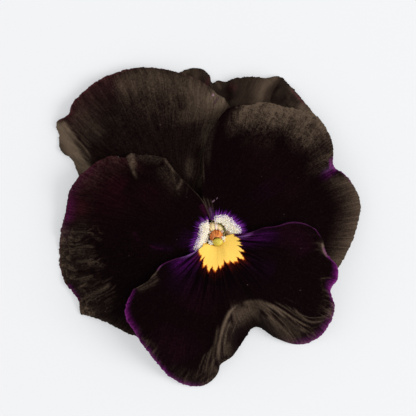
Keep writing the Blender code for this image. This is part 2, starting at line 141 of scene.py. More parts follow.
class Finish:
    """A material with a Principled shader, and the nodes that feed it."""

    def __init__(self, name, **constants):
        self.material = bpy.data.materials.new(name)
        self.material.use_nodes = True
        self.tree = self.material.node_tree
        self.shader = self.tree.nodes["Principled BSDF"]
        for socket, value in constants.items():
            self.shader.inputs[socket.replace("_", " ")].default_value = value

    def give(self, socket, value):
        if isinstance(value, Signal):
            self.tree.links.new(value.socket, socket)
        elif isinstance(value, tuple) and len(value) == 3 and socket.type == "RGBA":
            socket.default_value = (*value, 1.0)
        else:
            socket.default_value = value

    def node(self, kind, settings=None, *values, output=0, **named):
        made = self.tree.nodes.new(kind)
        for setting, value in (settings or {}).items():
            setattr(made, setting, value)
        for index, value in enumerate(values):
            if value is not None:
                self.give(made.inputs[index], value)
        for socket, value in named.items():
            self.give(made.inputs[socket], value)
        return Signal(self, made.outputs[output])

    def feed(self, socket, signal):
        self.tree.links.new(signal.socket, self.shader.inputs[socket])

    def blend(self, share, first, second):
        """The first colour where share is 0 and the second where it is 1."""
        mixed = self.node("ShaderNodeMix", {"data_type": "RGBA"}, output=2)
        for index, value in zip((0, 6, 7), (share, first, second)):
            self.give(mixed.socket.node.inputs[index], value)
        return mixed

    def painted(self, name):
        """A value stored on the piece's own points."""
        return self.node("ShaderNodeAttribute", {"attribute_name": name}, output="Fac")

    def run_of_values(self, at, stops):
        """A value read along straight runs between stops. A stop is a place from 0 to 1 and its value."""
        read = self.node("ShaderNodeValToRGB", None, at)
        ramp = read.socket.node.color_ramp
        while len(ramp.elements) < len(stops):
            ramp.elements.new(0.5)
        for element, (place, value) in zip(ramp.elements, stops):
            element.position = place
            element.color = (value, value, value, 1.0)
        return read

    def places(self, about=(0.0, 0.0)):
        """x, y and z in millimetres from a point drawn round the throat."""
        place = self.node("ShaderNodeTexCoord", None, output="Object")
        split = self.node("ShaderNodeSeparateXYZ", None, place)
        x, y, z = (Signal(self, split.socket.node.outputs[k]) for k in range(3))
        return (
            x * (1 / MM) - (THROAT[0] + about[0]),
            y * (1 / MM) - (THROAT[1] + about[1]),
            z * (1 / MM),
        )

    def vector(self, x, y, z):
        return self.node("ShaderNodeCombineXYZ", None, x, y, z)

    def grain(self, vector, scale, detail=2.0, roughness=0.5):
        """Noise, as a value round 0.5."""
        settings = {"noise_dimensions": "3D"}
        inputs = {"Vector": vector, "Scale": scale, "Detail": detail, "Roughness": roughness}
        return self.node("ShaderNodeTexNoise", settings, **inputs)

    def relief(self, height, strength, depth):
        """Feeds a bump of that depth in millimetres to the shader's normal."""
        bump = self.node("ShaderNodeBump", None, Strength=strength, Distance=depth * MM, Height=height)
        self.feed("Normal", bump)


print("signals and finishes are ready")

# %% [markdown]
# ## What a petal is
# A petal is a thin blade drawn between four curves: its lip at the throat, its rim, and two sides. The
# blade lies on a low dome, its rim lifts or bends down, and a narrow claw runs from the lip to the
# receptacle. These are the model's own curves. What is added here is finer: folds along their own
# paths, ruffles, a nibbled rim, and paint that is stroked on along paths and rims.


# %% How a petal is described
@dataclass
class Fold:
    """A ridge, or a furrow where the height is below 0, with its width on the path's left and right."""

    path: list
    left: float
    right: float
    height: float
    fade: tuple = (0.2, 0.2)


@dataclass
class Stroke:
    """Paint along a path, with a width on its left and right, that fades over a share of each end."""

    tint: str
    path: list
    left: float
    right: float
    strength: float
    fade: tuple = (0.2, 0.2)


@dataclass
class Band:
    """Paint along the rim, from one share of it to another, to a depth in millimetres."""

    tint: str
    first: float
    last: float
    depth: float
    strength: float
    power: float = 1.0


@dataclass
class Petal:
    name: str
    node: str
    layer: int
    foot: list
    neck: list
    lip: list
    first_side: list
    last_side: list
    rim: list
    phase: float
    folds: list = field(default_factory=list)
    paint: list = field(default_factory=list)
    ruffles: tuple = (9, 0.25)  # waves along the rim and their height
    # velvet is how much painted sheen lies over the whole face
    velvet: float = 0.1  # how brown the whole face looks


FACE_HEIGHT = 11.6  # the top of the front petal's dome
LAYER_STEP = 1.4  # how much lower each layer of petals lies
DROOP = 0.0055  # how fast the dome falls away from its middle
THROAT_SHARE = 0.2  # the share of a blade that dips towards the throat
LIFT_POWER = 3.4  # how late on its way outwards a blade starts to lift
RIPPLES, RIPPLE_HEIGHT = 7, 0.28  # broad waves along every rim
FOOT_HEIGHT = 4.9  # where the claws stand on the receptacle
ACROSS, BLADE_STEPS, CLAW_STEPS = 276, 126, 12  # faces across a petal, along its blade and its claw
FLESH = 0.32  # thickness of a petal


def describe(petal):
    print(petal.name, "has", len(petal.folds), "folds and", len(petal.paint), "touches of paint")


print("every petal is", FLESH, "mm thick, on domes", LAYER_STEP, "mm apart")

# %% [markdown]
# ### The lower petal
# It lies in front. A deep gully runs from the middle of its blade to a notch in its rim, and its walls
# hang steeply. The rims glow magenta where light comes through them, so they are painted lighter.

# %% The lower petal
LOWER = Petal(
    name="lower_petal",
    node="petal_lower",
    layer=0,
    foot=[(-1.1, -2.8, 4.3), (0.3, -3.9, 4.3), (1.7, -2.8, 4.3)],
    neck=[(-1.8, -0.4, 7.1), (-1.5, -2.0, 6.5), (0.4, -3.0, 6.2), (2.2, -1.9, 6.5), (2.4, -0.2, 7.1)],
    lip=[
        (-2.6, -1.8, 10.7), (-1.7, -1.4, 10.4), (-0.7, -1.5, 10.1), (0.5, -1.6, 10.0),
        (1.5, -1.0, 10.1), (2.0, 0.15, 10.1), (3.2, 0.65, 10.2), (4.6, 0.85, 10.4),
    ],
    first_side=[(-4.0, -2.65), (-6.0, -3.6), (-8.5, -4.3), (-11.1, -5.5), (-14.0, -8.9)],
    last_side=[(6.4, 1.0), (10.0, 2.2), (13.0, 2.6), (15.6, 3.4), (18.5, 3.1)],
    rim=[
        (-17.1, -10.7, -0.2), (-18.9, -15.5, -0.6), (-16.3, -20.7, -1.4), (-13.7, -24.5, -2.8),
        (-8.3, -30.3, -5.0), (-4.7, -31.6, -5.9), (-2.3, -31.3, -5.7), (0.0, -29.6, -5.2),
        (0.8, -28.2, -5.3), (1.0, -27.1, -5.4), (3.3, -25.4, -5.6), (5.3, -22.9, -6.4),
        (8.6, -18.9, -7.4), (13.0, -21.3, -7.1), (17.6, -22.7, -6.9), (19.9, -22.3, -5.7),
        (22.8, -20.3, -3.8), (24.6, -17.1, -2.2), (25.2, -14.7, -1.6), (24.4, -10.4, -0.8),
        (25.5, -9.0, -0.8), (25.4, -5.5, -0.4), (23.9, -4.1, -0.1), (23.0, -2.2, 0.0),
        (22.4, -0.3, 0.0), (21.0, 1.9, 0.0),
    ],
    phase=0.3,
    folds=[
        Fold([(4.8, -13.2), (3.0, -15.4), (1.8, -18.1), (0.8, -22.0), (0.6, -26.0)], 0.8, 1.7, 0.9),
        Fold([(6.6, -15.0), (5.6, -19.0), (3.6, -23.5)], 1.8, 2.0, -1.3),
        Fold([(9.0, -12.4), (12.6, -14.7), (16.8, -18.3), (20.4, -20.4)], 0.6, 0.5, 0.5),
        Fold([(11.0, -14.6), (14.5, -17.4), (17.6, -20.4)], 0.5, 0.6, -0.45),
        Fold([(16.2, -14.1), (17.9, -16.2), (20.4, -17.5), (23.4, -17.0)], 0.5, 0.4, 0.4),
        Fold([(10.0, -15.5), (13.0, -18.3), (15.8, -20.8)], 0.6, 0.5, 0.35),
        Fold([(-12.0, -7.2), (-14.3, -9.0), (-16.8, -10.6)], 0.9, 0.5, 0.4),
        Fold([(21.6, 1.0), (22.0, -1.2), (23.2, -3.6)], 0.5, 0.8, 0.4),
        Fold([(-0.6, -22.5), (-1.7, -25.6), (-2.6, -29.2)], 0.4, 0.4, 0.25),
    ],
    paint=[
        # sheen on the gully's walls and on the ridges beside its notch
        Stroke(
            "velvet",
            [(5.0, -13.3), (3.1, -15.2), (1.8, -18.0), (0.9, -21.4), (0.6, -24.5), (0.9, -27.6)],
            0.5, 0.4, 0.9,
        ),
        Stroke("velvet", [(3.2, -16.0), (6.0, -15.5), (10.4, -15.2)], 2.1, 3.2, 0.7, (0.05, 0.2)),
        Stroke("velvet", [(5.0, -13.6), (9.2, -13.3), (12.4, -15.9)], 0.5, 1.4, 0.76),
        Stroke("velvet", [(2.9, -16.5), (2.0, -21.5), (2.0, -26.0)], 1.8, 0.5, 0.62),
        Stroke("velvet", [(0.9, -17.2), (0.2, -21.0), (-0.4, -25.0), (-0.6, -28.6)], 0.4, 0.4, 0.55),
        Stroke("velvet", [(-0.3, -22.0), (-1.5, -25.6), (-2.4, -29.4)], 0.26, 0.26, 0.66),
        Stroke("velvet", [(0.1, -24.4), (-0.6, -27.3), (-1.3, -29.8)], 0.24, 0.24, 0.64),
        Stroke("velvet", [(-1.6, -23.4), (-3.2, -27.0), (-4.0, -30.0)], 0.24, 0.24, 0.5),
        Stroke("velvet", [(0.4, -27.0), (-2.2, -28.4)], 1.6, 1.6, 0.45),
        # sheen on the ridges of the right-hand lobe
        Stroke(
            "velvet",
            [(8.6, -12.0), (10.7, -13.6), (12.8, -14.8), (14.8, -16.6), (17.0, -18.4), (20.6, -20.6)],
            0.3, 0.4, 0.88,
        ),
        Stroke("velvet", [(9.6, -12.8), (13.7, -15.0), (17.9, -17.7), (21.4, -19.4)], 0.3, 0.3, 0.8),
        Stroke("velvet", [(11.6, -12.6), (14.9, -14.6), (18.6, -17.0), (22.2, -18.4)], 0.2, 0.3, 0.6),
        Stroke("velvet", [(16.0, -13.8), (17.9, -16.2), (20.4, -17.6), (24.2, -16.9)], 0.22, 0.3, 0.72),
        Stroke("velvet", [(9.8, -15.2), (13.0, -18.3), (16.4, -21.8)], 1.6, 1.8, 0.62, (0.1, 0.0)),
        Stroke("velvet", [(12.6, -15.9), (15.8, -18.5), (18.6, -21.2)], 1.2, 1.2, 0.5),
        # painted sheen on fine wrinkles behind the rim
        Band("crinkle", 0.6, 0.84, 4.6, 0.8),
        Band("crinkle", 0.25, 0.44, 4.6, 0.75),
        Band("crinkle", 0.12, 0.22, 3.2, 0.8),
        Band("velvet", 0.58, 0.82, 2.6, 0.4),
        Band("velvet", 0.26, 0.42, 3.0, 0.42),
        # sheen on the ridges at the left end
        Stroke("velvet", [(-11.6, -7.2), (-14.3, -9.1), (-17.0, -10.9)], 1.3, 0.3, 0.4),
        Stroke("velvet", [(-11.7, -6.9), (-14.2, -8.9), (-17.0, -10.7)], 0.25, 0.25, 0.75),
        Stroke("velvet", [(-11.0, -8.2), (-13.6, -9.6), (-16.6, -11.0)], 0.25, 0.25, 0.55),
        Stroke("velvet", [(-11.4, -9.2), (-13.8, -10.2), (-16.6, -11.1)], 0.2, 0.2, 0.42),
        # sheen on the ridges at the right end, and on short ones behind the rim
        Stroke("velvet", [(21.0, -1.6), (22.3, -1.5), (23.2, -3.6)], 1.0, 1.4, 0.42),
        Stroke("velvet", [(19.4, -1.0), (22.0, -1.2), (23.0, -3.0)], 0.3, 0.3, 0.5, (0.5, 0.2)),
        Stroke("velvet", [(19.6, -2.6), (22.0, -2.4), (23.4, -4.0)], 0.3, 0.3, 0.42, (0.5, 0.2)),
        Stroke("velvet", [(21.6, -8.5), (25.2, -8.2)], 0.16, 0.16, 0.5),
        Stroke("velvet", [(22.0, -12.2), (25.0, -12.0)], 0.14, 0.14, 0.4),
        Stroke("velvet", [(22.4, -13.6), (25.2, -14.0)], 0.14, 0.14, 0.42),
        Stroke("velvet", [(14.0, -12.2), (17.4, -13.8)], 0.14, 0.14, 0.3),
        Stroke(
            "velvet",
            [(-11.1, -5.5), (-12.4, -7.3), (-14.6, -9.2), (-17.1, -10.8)],
            0.14, 0.14, 0.8, (0.05, 0.05),
        ),
        # painted shade in the hollows
        Stroke("dark", [(4.8, -18.6), (5.6, -21.0), (4.2, -23.6)], 1.7, 1.8, 0.6),
        Stroke("dark", [(3.2, -18.2), (2.8, -22.4)], 1.0, 0.9, 0.5),
        Stroke("dark", [(9.0, -17.4), (6.4, -18.8)], 1.3, 1.0, 0.36),
        # painted highlights on the palest crests
        Stroke("pale", [(5.0, -13.4), (3.1, -15.3), (1.8, -18.2), (0.9, -21.4)], 0.3, 0.2, 0.42),
        Stroke("pale", [(3.4, -16.6), (2.4, -19.4), (1.8, -23.4)], 0.14, 0.14, 0.4),
        Stroke("pale", [(4.6, -17.0), (3.4, -20.4)], 0.12, 0.12, 0.34),
        Stroke("pale", [(6.4, -14.6), (8.8, -14.2), (11.0, -15.6)], 0.2, 0.2, 0.3),
        Stroke("pale", [(9.4, -13.4), (12.0, -15.4), (15.0, -18.5), (17.2, -21.6)], 0.12, 0.12, 0.46),
        Stroke("pale", [(9.6, -14.4), (11.8, -16.8), (14.0, -20.0)], 0.12, 0.12, 0.4),
        Stroke("pale", [(12.0, -13.7), (15.2, -16.2), (18.8, -19.2), (21.2, -20.6)], 0.12, 0.12, 0.44),
        Stroke("pale", [(14.0, -13.2), (17.0, -15.5), (20.6, -16.8), (24.2, -16.0)], 0.1, 0.12, 0.4),
        Stroke("pale", [(-1.0, -23.0), (-2.2, -26.4), (-3.0, -29.6)], 0.12, 0.12, 0.36),
        Stroke("pale", [(-0.2, -25.0), (-1.0, -27.6)], 0.12, 0.12, 0.36),
        Stroke("pale", [(22.3, -0.6), (22.6, -2.4), (23.7, -4.2)], 0.3, 0.3, 0.66),
        Stroke("pale", [(8.6, -12.4), (10.7, -13.8), (12.8, -15.0), (14.8, -16.8)], 0.15, 0.2, 0.42),
        # painted shade in the furrows between the crests
        Stroke("dark", [(9.5, -15.1), (11.2, -16.6)], 0.45, 0.45, 0.7),
        Stroke("dark", [(10.4, -16.8), (12.8, -19.5)], 0.18, 0.18, 0.6),
        Stroke("dark", [(11.8, -15.7), (14.9, -18.9)], 0.22, 0.22, 0.65),
        Stroke("dark", [(14.3, -16.2), (18.5, -19.4)], 0.26, 0.26, 0.6),
        Stroke("dark", [(2.8, -19.0), (2.3, -22.8)], 0.18, 0.18, 0.7),
        Stroke("dark", [(4.4, -19.3), (3.9, -22.8)], 0.18, 0.18, 0.7),
        # flushes of violet and plum
        Stroke("violet", [(-2.6, -2.6), (-7.0, -4.6), (-11.4, -6.2)], 3.2, 1.0, 0.82, (0.02, 0.45)),
        Stroke("violet", [(-4.0, -6.0), (-7.5, -9.5), (-9.5, -14.0)], 4.0, 4.0, 0.26, (0.1, 0.6)),
        Stroke("plum", [(-2.4, -8.0), (-5.5, -16.0)], 5.0, 5.0, 0.24),
        Stroke(
            "violet",
            [(4.8, -0.4), (7.4, 0.0), (11.0, 0.5), (15.5, 0.8)],
            1.4, 1.9, 0.66, (0.05, 0.5),
        ),
        Stroke("violet", [(6.0, -3.6), (9.0, -5.6), (13.0, -7.5)], 2.6, 2.6, 0.22),
        Stroke("plum", [(12.0, 1.5), (17.0, 0.0), (20.0, -4.0)], 3.4, 3.4, 0.28),
        Stroke("plum", [(-9.0, -13.0), (-9.0, -22.0), (-6.0, -28.0)], 6.5, 6.5, 0.24, (0.6, 0.2)),
        # the lit sides beside the throat
        Stroke("magenta", [(4.4, 0.4), (6.4, 0.6), (9.0, 1.4)], 0.6, 0.9, 0.7, (0.02, 0.6)),
        Stroke("lilac", [(3.7, 0.6), (5.2, 0.3), (6.4, 0.5), (8.4, 1.5)], 0.3, 0.4, 0.7, (0.02, 0.5)),
        Stroke(
            "glow",
            [(6.4, 1.0), (10.0, 2.15), (13.0, 2.6), (15.6, 3.3), (18.5, 3.1), (21.0, 1.9), (22.3, -0.3)],
            0.12, 0.18, 0.52, (0.02, 0.1),
        ),
        Stroke(
            "lilac",
            [(-2.4, -1.9), (-4.0, -2.7), (-6.0, -3.6), (-8.6, -4.4)],
            0.5, 0.35, 0.8, (0.02, 0.7),
        ),
        Stroke(
            "glow",
            [(-4.0, -2.65), (-8.5, -4.3), (-11.1, -5.5), (-12.3, -7.0)],
            0.22, 0.14, 0.72, (0.02, 0.1),
        ),
        Stroke("glow", [(22.4, -1.5), (23.2, -3.3), (24.4, -4.6)], 0.3, 0.3, 0.6),
        # the magenta rim and its lit edge
        Band("magenta", 0.0, 0.13, 2.0, 0.8),
        Band("magenta", 0.12, 0.34, 1.4, 0.74),
        Band("magenta", 0.62, 0.78, 2.0, 0.7),
        Band("magenta", 0.78, 0.93, 2.0, 0.86),
        Band("glow", 0.0, 0.16, 0.45, 0.85),
        Band("glow", 0.16, 0.33, 0.45, 0.8),
        Band("glow", 0.64, 0.79, 0.5, 0.8),
        Band("glow", 0.8, 0.93, 0.6, 0.9),
    ],
    velvet=0.05,
)
describe(LOWER)

# %% [markdown]
# ### The side petals
# They lie behind the lower petal and carry the white beards on their lips. The left one is flushed wine
# red towards its upper rim and wrinkled at its outer one. The right one has a broad brownish outer band
# of painted sheen.

# %% The side petals
LEFT = Petal(
    name="left_petal",
    node="petal_left",
    layer=1,
    foot=[(-2.2, 3.3, FOOT_HEIGHT), (-2.5, 2.4, FOOT_HEIGHT), (-2.4, 1.5, FOOT_HEIGHT)],
    neck=[(-1.9, 3.6, 7.1), (-2.3, 2.0, 7.1), (-2.8, 0.1, 7.0)],
    lip=[(-1.4, 4.0, 9.4), (-1.8, 1.6, 9.2), (-2.3, 0.2, 8.7), (-3.0, -1.0, 8.0)],
    first_side=[(-1.35, 5.5), (-2.6, 7.9), (-5.0, 10.5), (-8.1, 13.7)],
    last_side=[(-4.3, -3.2), (-5.5, -7.0), (-6.5, -11.0)],
    rim=[
        (-10.3, 16.7, 0.0), (-13.0, 17.3, 0.1), (-15.4, 17.4, 0.3), (-17.7, 17.6, 0.5),
        (-18.9, 16.9, 0.2), (-21.6, 17.3, 0.0), (-24.3, 16.3, -0.1), (-26.7, 14.6, -0.3),
        (-28.9, 12.7, -0.6), (-30.8, 9.6, -1.2), (-31.6, 5.5, -2.0), (-32.5, 2.1, -2.8),
        (-33.1, -3.3, -3.8), (-32.8, -6.8, -3.9), (-31.7, -9.7, -3.7), (-28.8, -13.6, -3.4),
        (-28.5, -16.1, -3.9), (-27.0, -16.6, -4.1), (-24.3, -17.4, -4.2), (-21.1, -18.9, -4.0),
        (-18.0, -20.4, -3.6), (-14.0, -20.5, -2.6), (-10.0, -18.5, -1.6), (-7.4, -14.5, -0.8),
    ],
    phase=1.9,
    folds=[
        Fold([(-18.0, 17.6), (-17.2, 14.4), (-16.2, 12.0)], 0.9, 0.4, 0.45, (0.0, 0.3)),
        Fold([(-31.5, 1.0), (-28.5, 1.4), (-25.5, 0.9)], 0.4, 0.4, 0.25),
        Fold([(-31.0, -3.0), (-28.4, -1.9), (-24.8, -1.9)], 0.4, 0.5, 0.35),
        Fold([(-30.5, -5.8), (-28.0, -5.2), (-25.8, -3.9)], 0.5, 0.5, 0.3),
        Fold([(-29.2, -8.8), (-27.0, -8.4), (-25.0, -7.6)], 0.4, 0.4, 0.3),
        Fold([(-28.2, -11.7), (-25.0, -11.1), (-22.9, -10.4), (-21.0, -8.7)], 0.4, 0.5, 0.4),
        Fold([(-29.8, -7.2), (-26.8, -6.9), (-24.2, -5.6)], 0.5, 0.5, -0.3),
        Fold([(-28.6, -10.3), (-25.2, -9.7), (-22.8, -8.6)], 0.4, 0.4, -0.3),
        Fold([(-7.0, 12.4), (-7.6, 10.6), (-8.3, 9.0)], 0.5, 0.5, 0.25),
    ],
    paint=[
        # wine and plum behind the rim and over the face
        Band("wine", 0.1, 0.4, 7.5, 0.56, 0.8),
        Band("plum", 0.2, 0.46, 3.6, 0.66),
        Band("magenta", 0.28, 0.46, 2.6, 0.3, 0.8),
        Stroke("plum", [(-30.6, 8.6), (-31.0, 5.4), (-31.2, 2.8)], 1.8, 1.8, 0.8),
        Stroke("wine", [(-27.8, 8.4), (-28.4, 4.4)], 2.2, 2.2, 0.5),
        Stroke("wine", [(-22.4, 13.2), (-18.6, 10.0)], 3.0, 3.0, 0.36),
        Band("wine", 0.18, 0.68, 0.5, 1.0, 0.6),
        Stroke(
            "wine",
            [(-19.0, 13.0), (-23.0, 8.0), (-24.0, 2.0), (-22.0, -6.0)],
            7.0, 7.0, 0.32, (0.2, 0.85),
        ),
        Stroke("wine", [(-14.0, 14.0), (-14.0, 0.0)], 6.0, 6.0, 0.22, (0.3, 0.7)),
        # small flushes on the face and near the beard
        Stroke("plum", [(-17.2, 1.6), (-16.4, 0.2), (-15.6, -1.0)], 0.6, 0.6, 0.3),
        Stroke("plum", [(-14.2, -1.2), (-12.4, -2.0), (-10.4, -2.2)], 0.2, 0.2, 0.5),
        Stroke("violet", [(-4.4, 1.6), (-6.0, -0.6), (-6.4, -2.6)], 2.2, 2.2, 0.3),
        Stroke("violet", [(-14.0, -1.6), (-8.0, -2.4)], 0.9, 0.9, 0.25),
        # sheen on the fold in the upper rim
        Stroke("velvet", [(-17.6, 18.0), (-17.2, 15.4), (-16.2, 12.2)], 1.0, 1.0, 0.72, (0.0, 0.7)),
        Stroke("velvet", [(-15.9, 18.0), (-15.4, 15.4)], 1.0, 1.0, 0.44, (0.0, 0.5)),
        Stroke("velvet", [(-18.4, 17.0), (-17.3, 14.3), (-16.1, 11.6)], 0.5, 0.2, 0.84, (0.0, 0.4)),
        # sheen along the side that lies on the upper petal
        Stroke("velvet", [(-15.4, 17.3), (-12.8, 17.1), (-10.6, 16.0)], 0.8, 1.8, 0.42, (0.1, 0.2)),
        Stroke(
            "velvet",
            [(-10.4, 16.9), (-8.1, 13.9), (-5.3, 10.9), (-2.8, 8.2), (-1.5, 5.6), (-1.0, 4.3)],
            0.2, 0.2, 0.62, (0.02, 0.0),
        ),
        Stroke(
            "velvet",
            [(-11.0, 15.8), (-9.4, 12.4), (-7.4, 9.6), (-5.0, 7.0)],
            2.4, 2.4, 0.34, (0.1, 0.6),
        ),
        Stroke("velvet", [(-10.6, 16.2), (-9.8, 13.6), (-9.4, 10.6)], 0.3, 0.3, 0.3, (0.0, 0.8)),
        Stroke("velvet", [(-8.6, 14.2), (-8.4, 11.6), (-8.6, 9.2)], 0.25, 0.3, 0.36, (0.0, 0.8)),
        Stroke("velvet", [(-5.6, 11.0), (-6.0, 9.0), (-6.8, 7.0)], 0.2, 0.25, 0.3, (0.0, 0.8)),
        Stroke("velvet", [(-6.8, 12.2), (-7.6, 10.6), (-8.3, 9.2)], 0.4, 0.5, 0.6, (0.0, 0.5)),
        Stroke("velvet", [(-9.6, 14.8), (-8.4, 12.0), (-7.8, 9.4)], 0.3, 0.3, 0.5),
        Stroke("velvet", [(-10.6, 16.6), (-9.2, 14.8), (-7.8, 13.0)], 0.3, 0.5, 0.62, (0.0, 0.3)),
        Stroke("mottled", [(-16.5, 16.0), (-10.0, 14.0), (-6.0, 9.0)], 3.4, 3.4, 0.5),
        # painted shade in hollows and on darker stretches of the rim, and flushes of magenta and plum
        Stroke("dark", [(-29.6, 9.6), (-30.8, 5.4), (-31.6, 1.8)], 2.6, 2.6, 0.56),
        Stroke("dark", [(-25.0, 0.4), (-26.4, -0.6)], 1.0, 1.0, 0.45),
        Stroke("dark", [(-24.6, -6.8), (-28.0, -7.2)], 0.8, 0.8, 0.5),
        Stroke("dark", [(-30.6, -3.4), (-29.4, -5.2)], 0.9, 0.9, 0.42),
        Stroke("dark", [(-31.4, -9.2), (-29.4, -11.4), (-28.2, -13.6)], 1.0, 1.1, 0.7),
        Stroke("dark", [(-27.0, -9.4), (-24.8, -9.2)], 0.4, 0.4, 0.5),
        Stroke("magenta", [(-31.6, -9.4), (-29.6, -12.2), (-28.4, -13.8)], 0.8, 0.6, 0.52),
        Stroke("plum", [(-3.0, 7.4), (-1.6, 4.6)], 0.8, 0.8, 0.6),
        # sheen and fine wrinkles behind the rim
        Band("velvet", 0.38, 0.72, 9.5, 0.48, 1.0),
        Band("velvet", 0.1, 0.42, 7.0, 0.32, 0.6),
        Band("crinkle", 0.4, 0.72, 9.5, 0.92, 0.9),
        Stroke("crinkle", [(-27.0, 1.6), (-22.4, -0.8)], 1.8, 1.8, 0.62, (0.1, 0.6)),
        Stroke("crinkle", [(-27.0, -4.6), (-21.6, -6.4)], 2.0, 2.0, 0.62, (0.1, 0.6)),
        Band("mottled", 0.1, 0.36, 8.0, 0.9, 0.4),
        Band("mottled", 0.34, 0.75, 8.0, 0.5, 0.4),
        Band("velvet", 0.45, 0.57, 2.8, 0.5),
        Band("velvet", 0.63, 0.98, 5.0, 0.3, 1.3),
        Band("velvet", 0.66, 0.98, 1.7, 0.42),
        # sheen on the ridges at the outer rim, and painted shade in the furrows between them
        Stroke("velvet", [(-30.4, 2.3), (-27.6, 2.9), (-26.2, 2.0)], 0.3, 0.3, 0.4),
        Stroke("velvet", [(-31.2, 0.5), (-28.5, 1.3), (-26.0, 1.0)], 0.4, 0.5, 0.42),
        Stroke("velvet", [(-31.2, -3.2), (-28.6, -1.9), (-26.6, -1.6), (-24.6, -2.0)], 0.25, 0.7, 0.54),
        Stroke("velvet", [(-31.2, -4.8), (-28.6, -3.4), (-25.6, -3.5)], 0.2, 0.5, 0.46),
        Stroke("velvet", [(-29.6, -4.6), (-27.9, -5.0), (-26.4, -4.2)], 0.4, 0.6, 0.52),
        Stroke("velvet", [(-29.2, -8.8), (-27.2, -8.4), (-25.2, -7.6)], 0.4, 0.7, 0.56),
        Stroke("velvet", [(-29.0, -10.0), (-26.6, -10.3)], 0.2, 0.25, 0.5),
        Stroke(
            "velvet",
            [(-28.4, -12.4), (-25.4, -11.6), (-23.1, -10.4), (-21.6, -8.8)],
            0.25, 0.6, 0.62,
        ),
        Stroke("velvet", [(-26.6, -12.0), (-24.6, -12.2), (-22.0, -10.9), (-20.2, -9.4)], 0.2, 0.3, 0.5),
        Stroke("velvet", [(-29.0, -9.4), (-27.4, -8.2), (-25.8, -8.9), (-24.4, -8.2)], 0.2, 0.3, 0.5),
        Stroke("velvet", [(-30.2, 1.9), (-28.2, 2.6), (-26.6, 1.5)], 0.2, 0.3, 0.4),
        Stroke("velvet", [(-30.8, -1.9), (-29.0, -2.7), (-27.2, -1.7), (-25.2, -2.6)], 0.2, 0.35, 0.46),
        Stroke("velvet", [(-27.2, -12.6), (-23.9, -12.4)], 0.2, 0.2, 0.46),
        Stroke("velvet", [(-24.2, -9.8), (-21.0, -7.9)], 0.2, 0.2, 0.42),
        Stroke("velvet", [(-23.6, -12.4), (-20.4, -11.0)], 0.2, 0.2, 0.42),
        Stroke("dark", [(-29.6, -7.2), (-26.8, -6.9), (-24.6, -5.9)], 0.5, 0.5, 0.6),
        Stroke("dark", [(-28.8, -10.9), (-25.6, -10.5)], 0.25, 0.25, 0.7),
        Stroke("dark", [(-27.0, -14.0), (-23.0, -13.6)], 0.7, 0.7, 0.5),
    ],
    ruffles=(13, 0.3),
    velvet=0.06,
)
describe(LEFT)
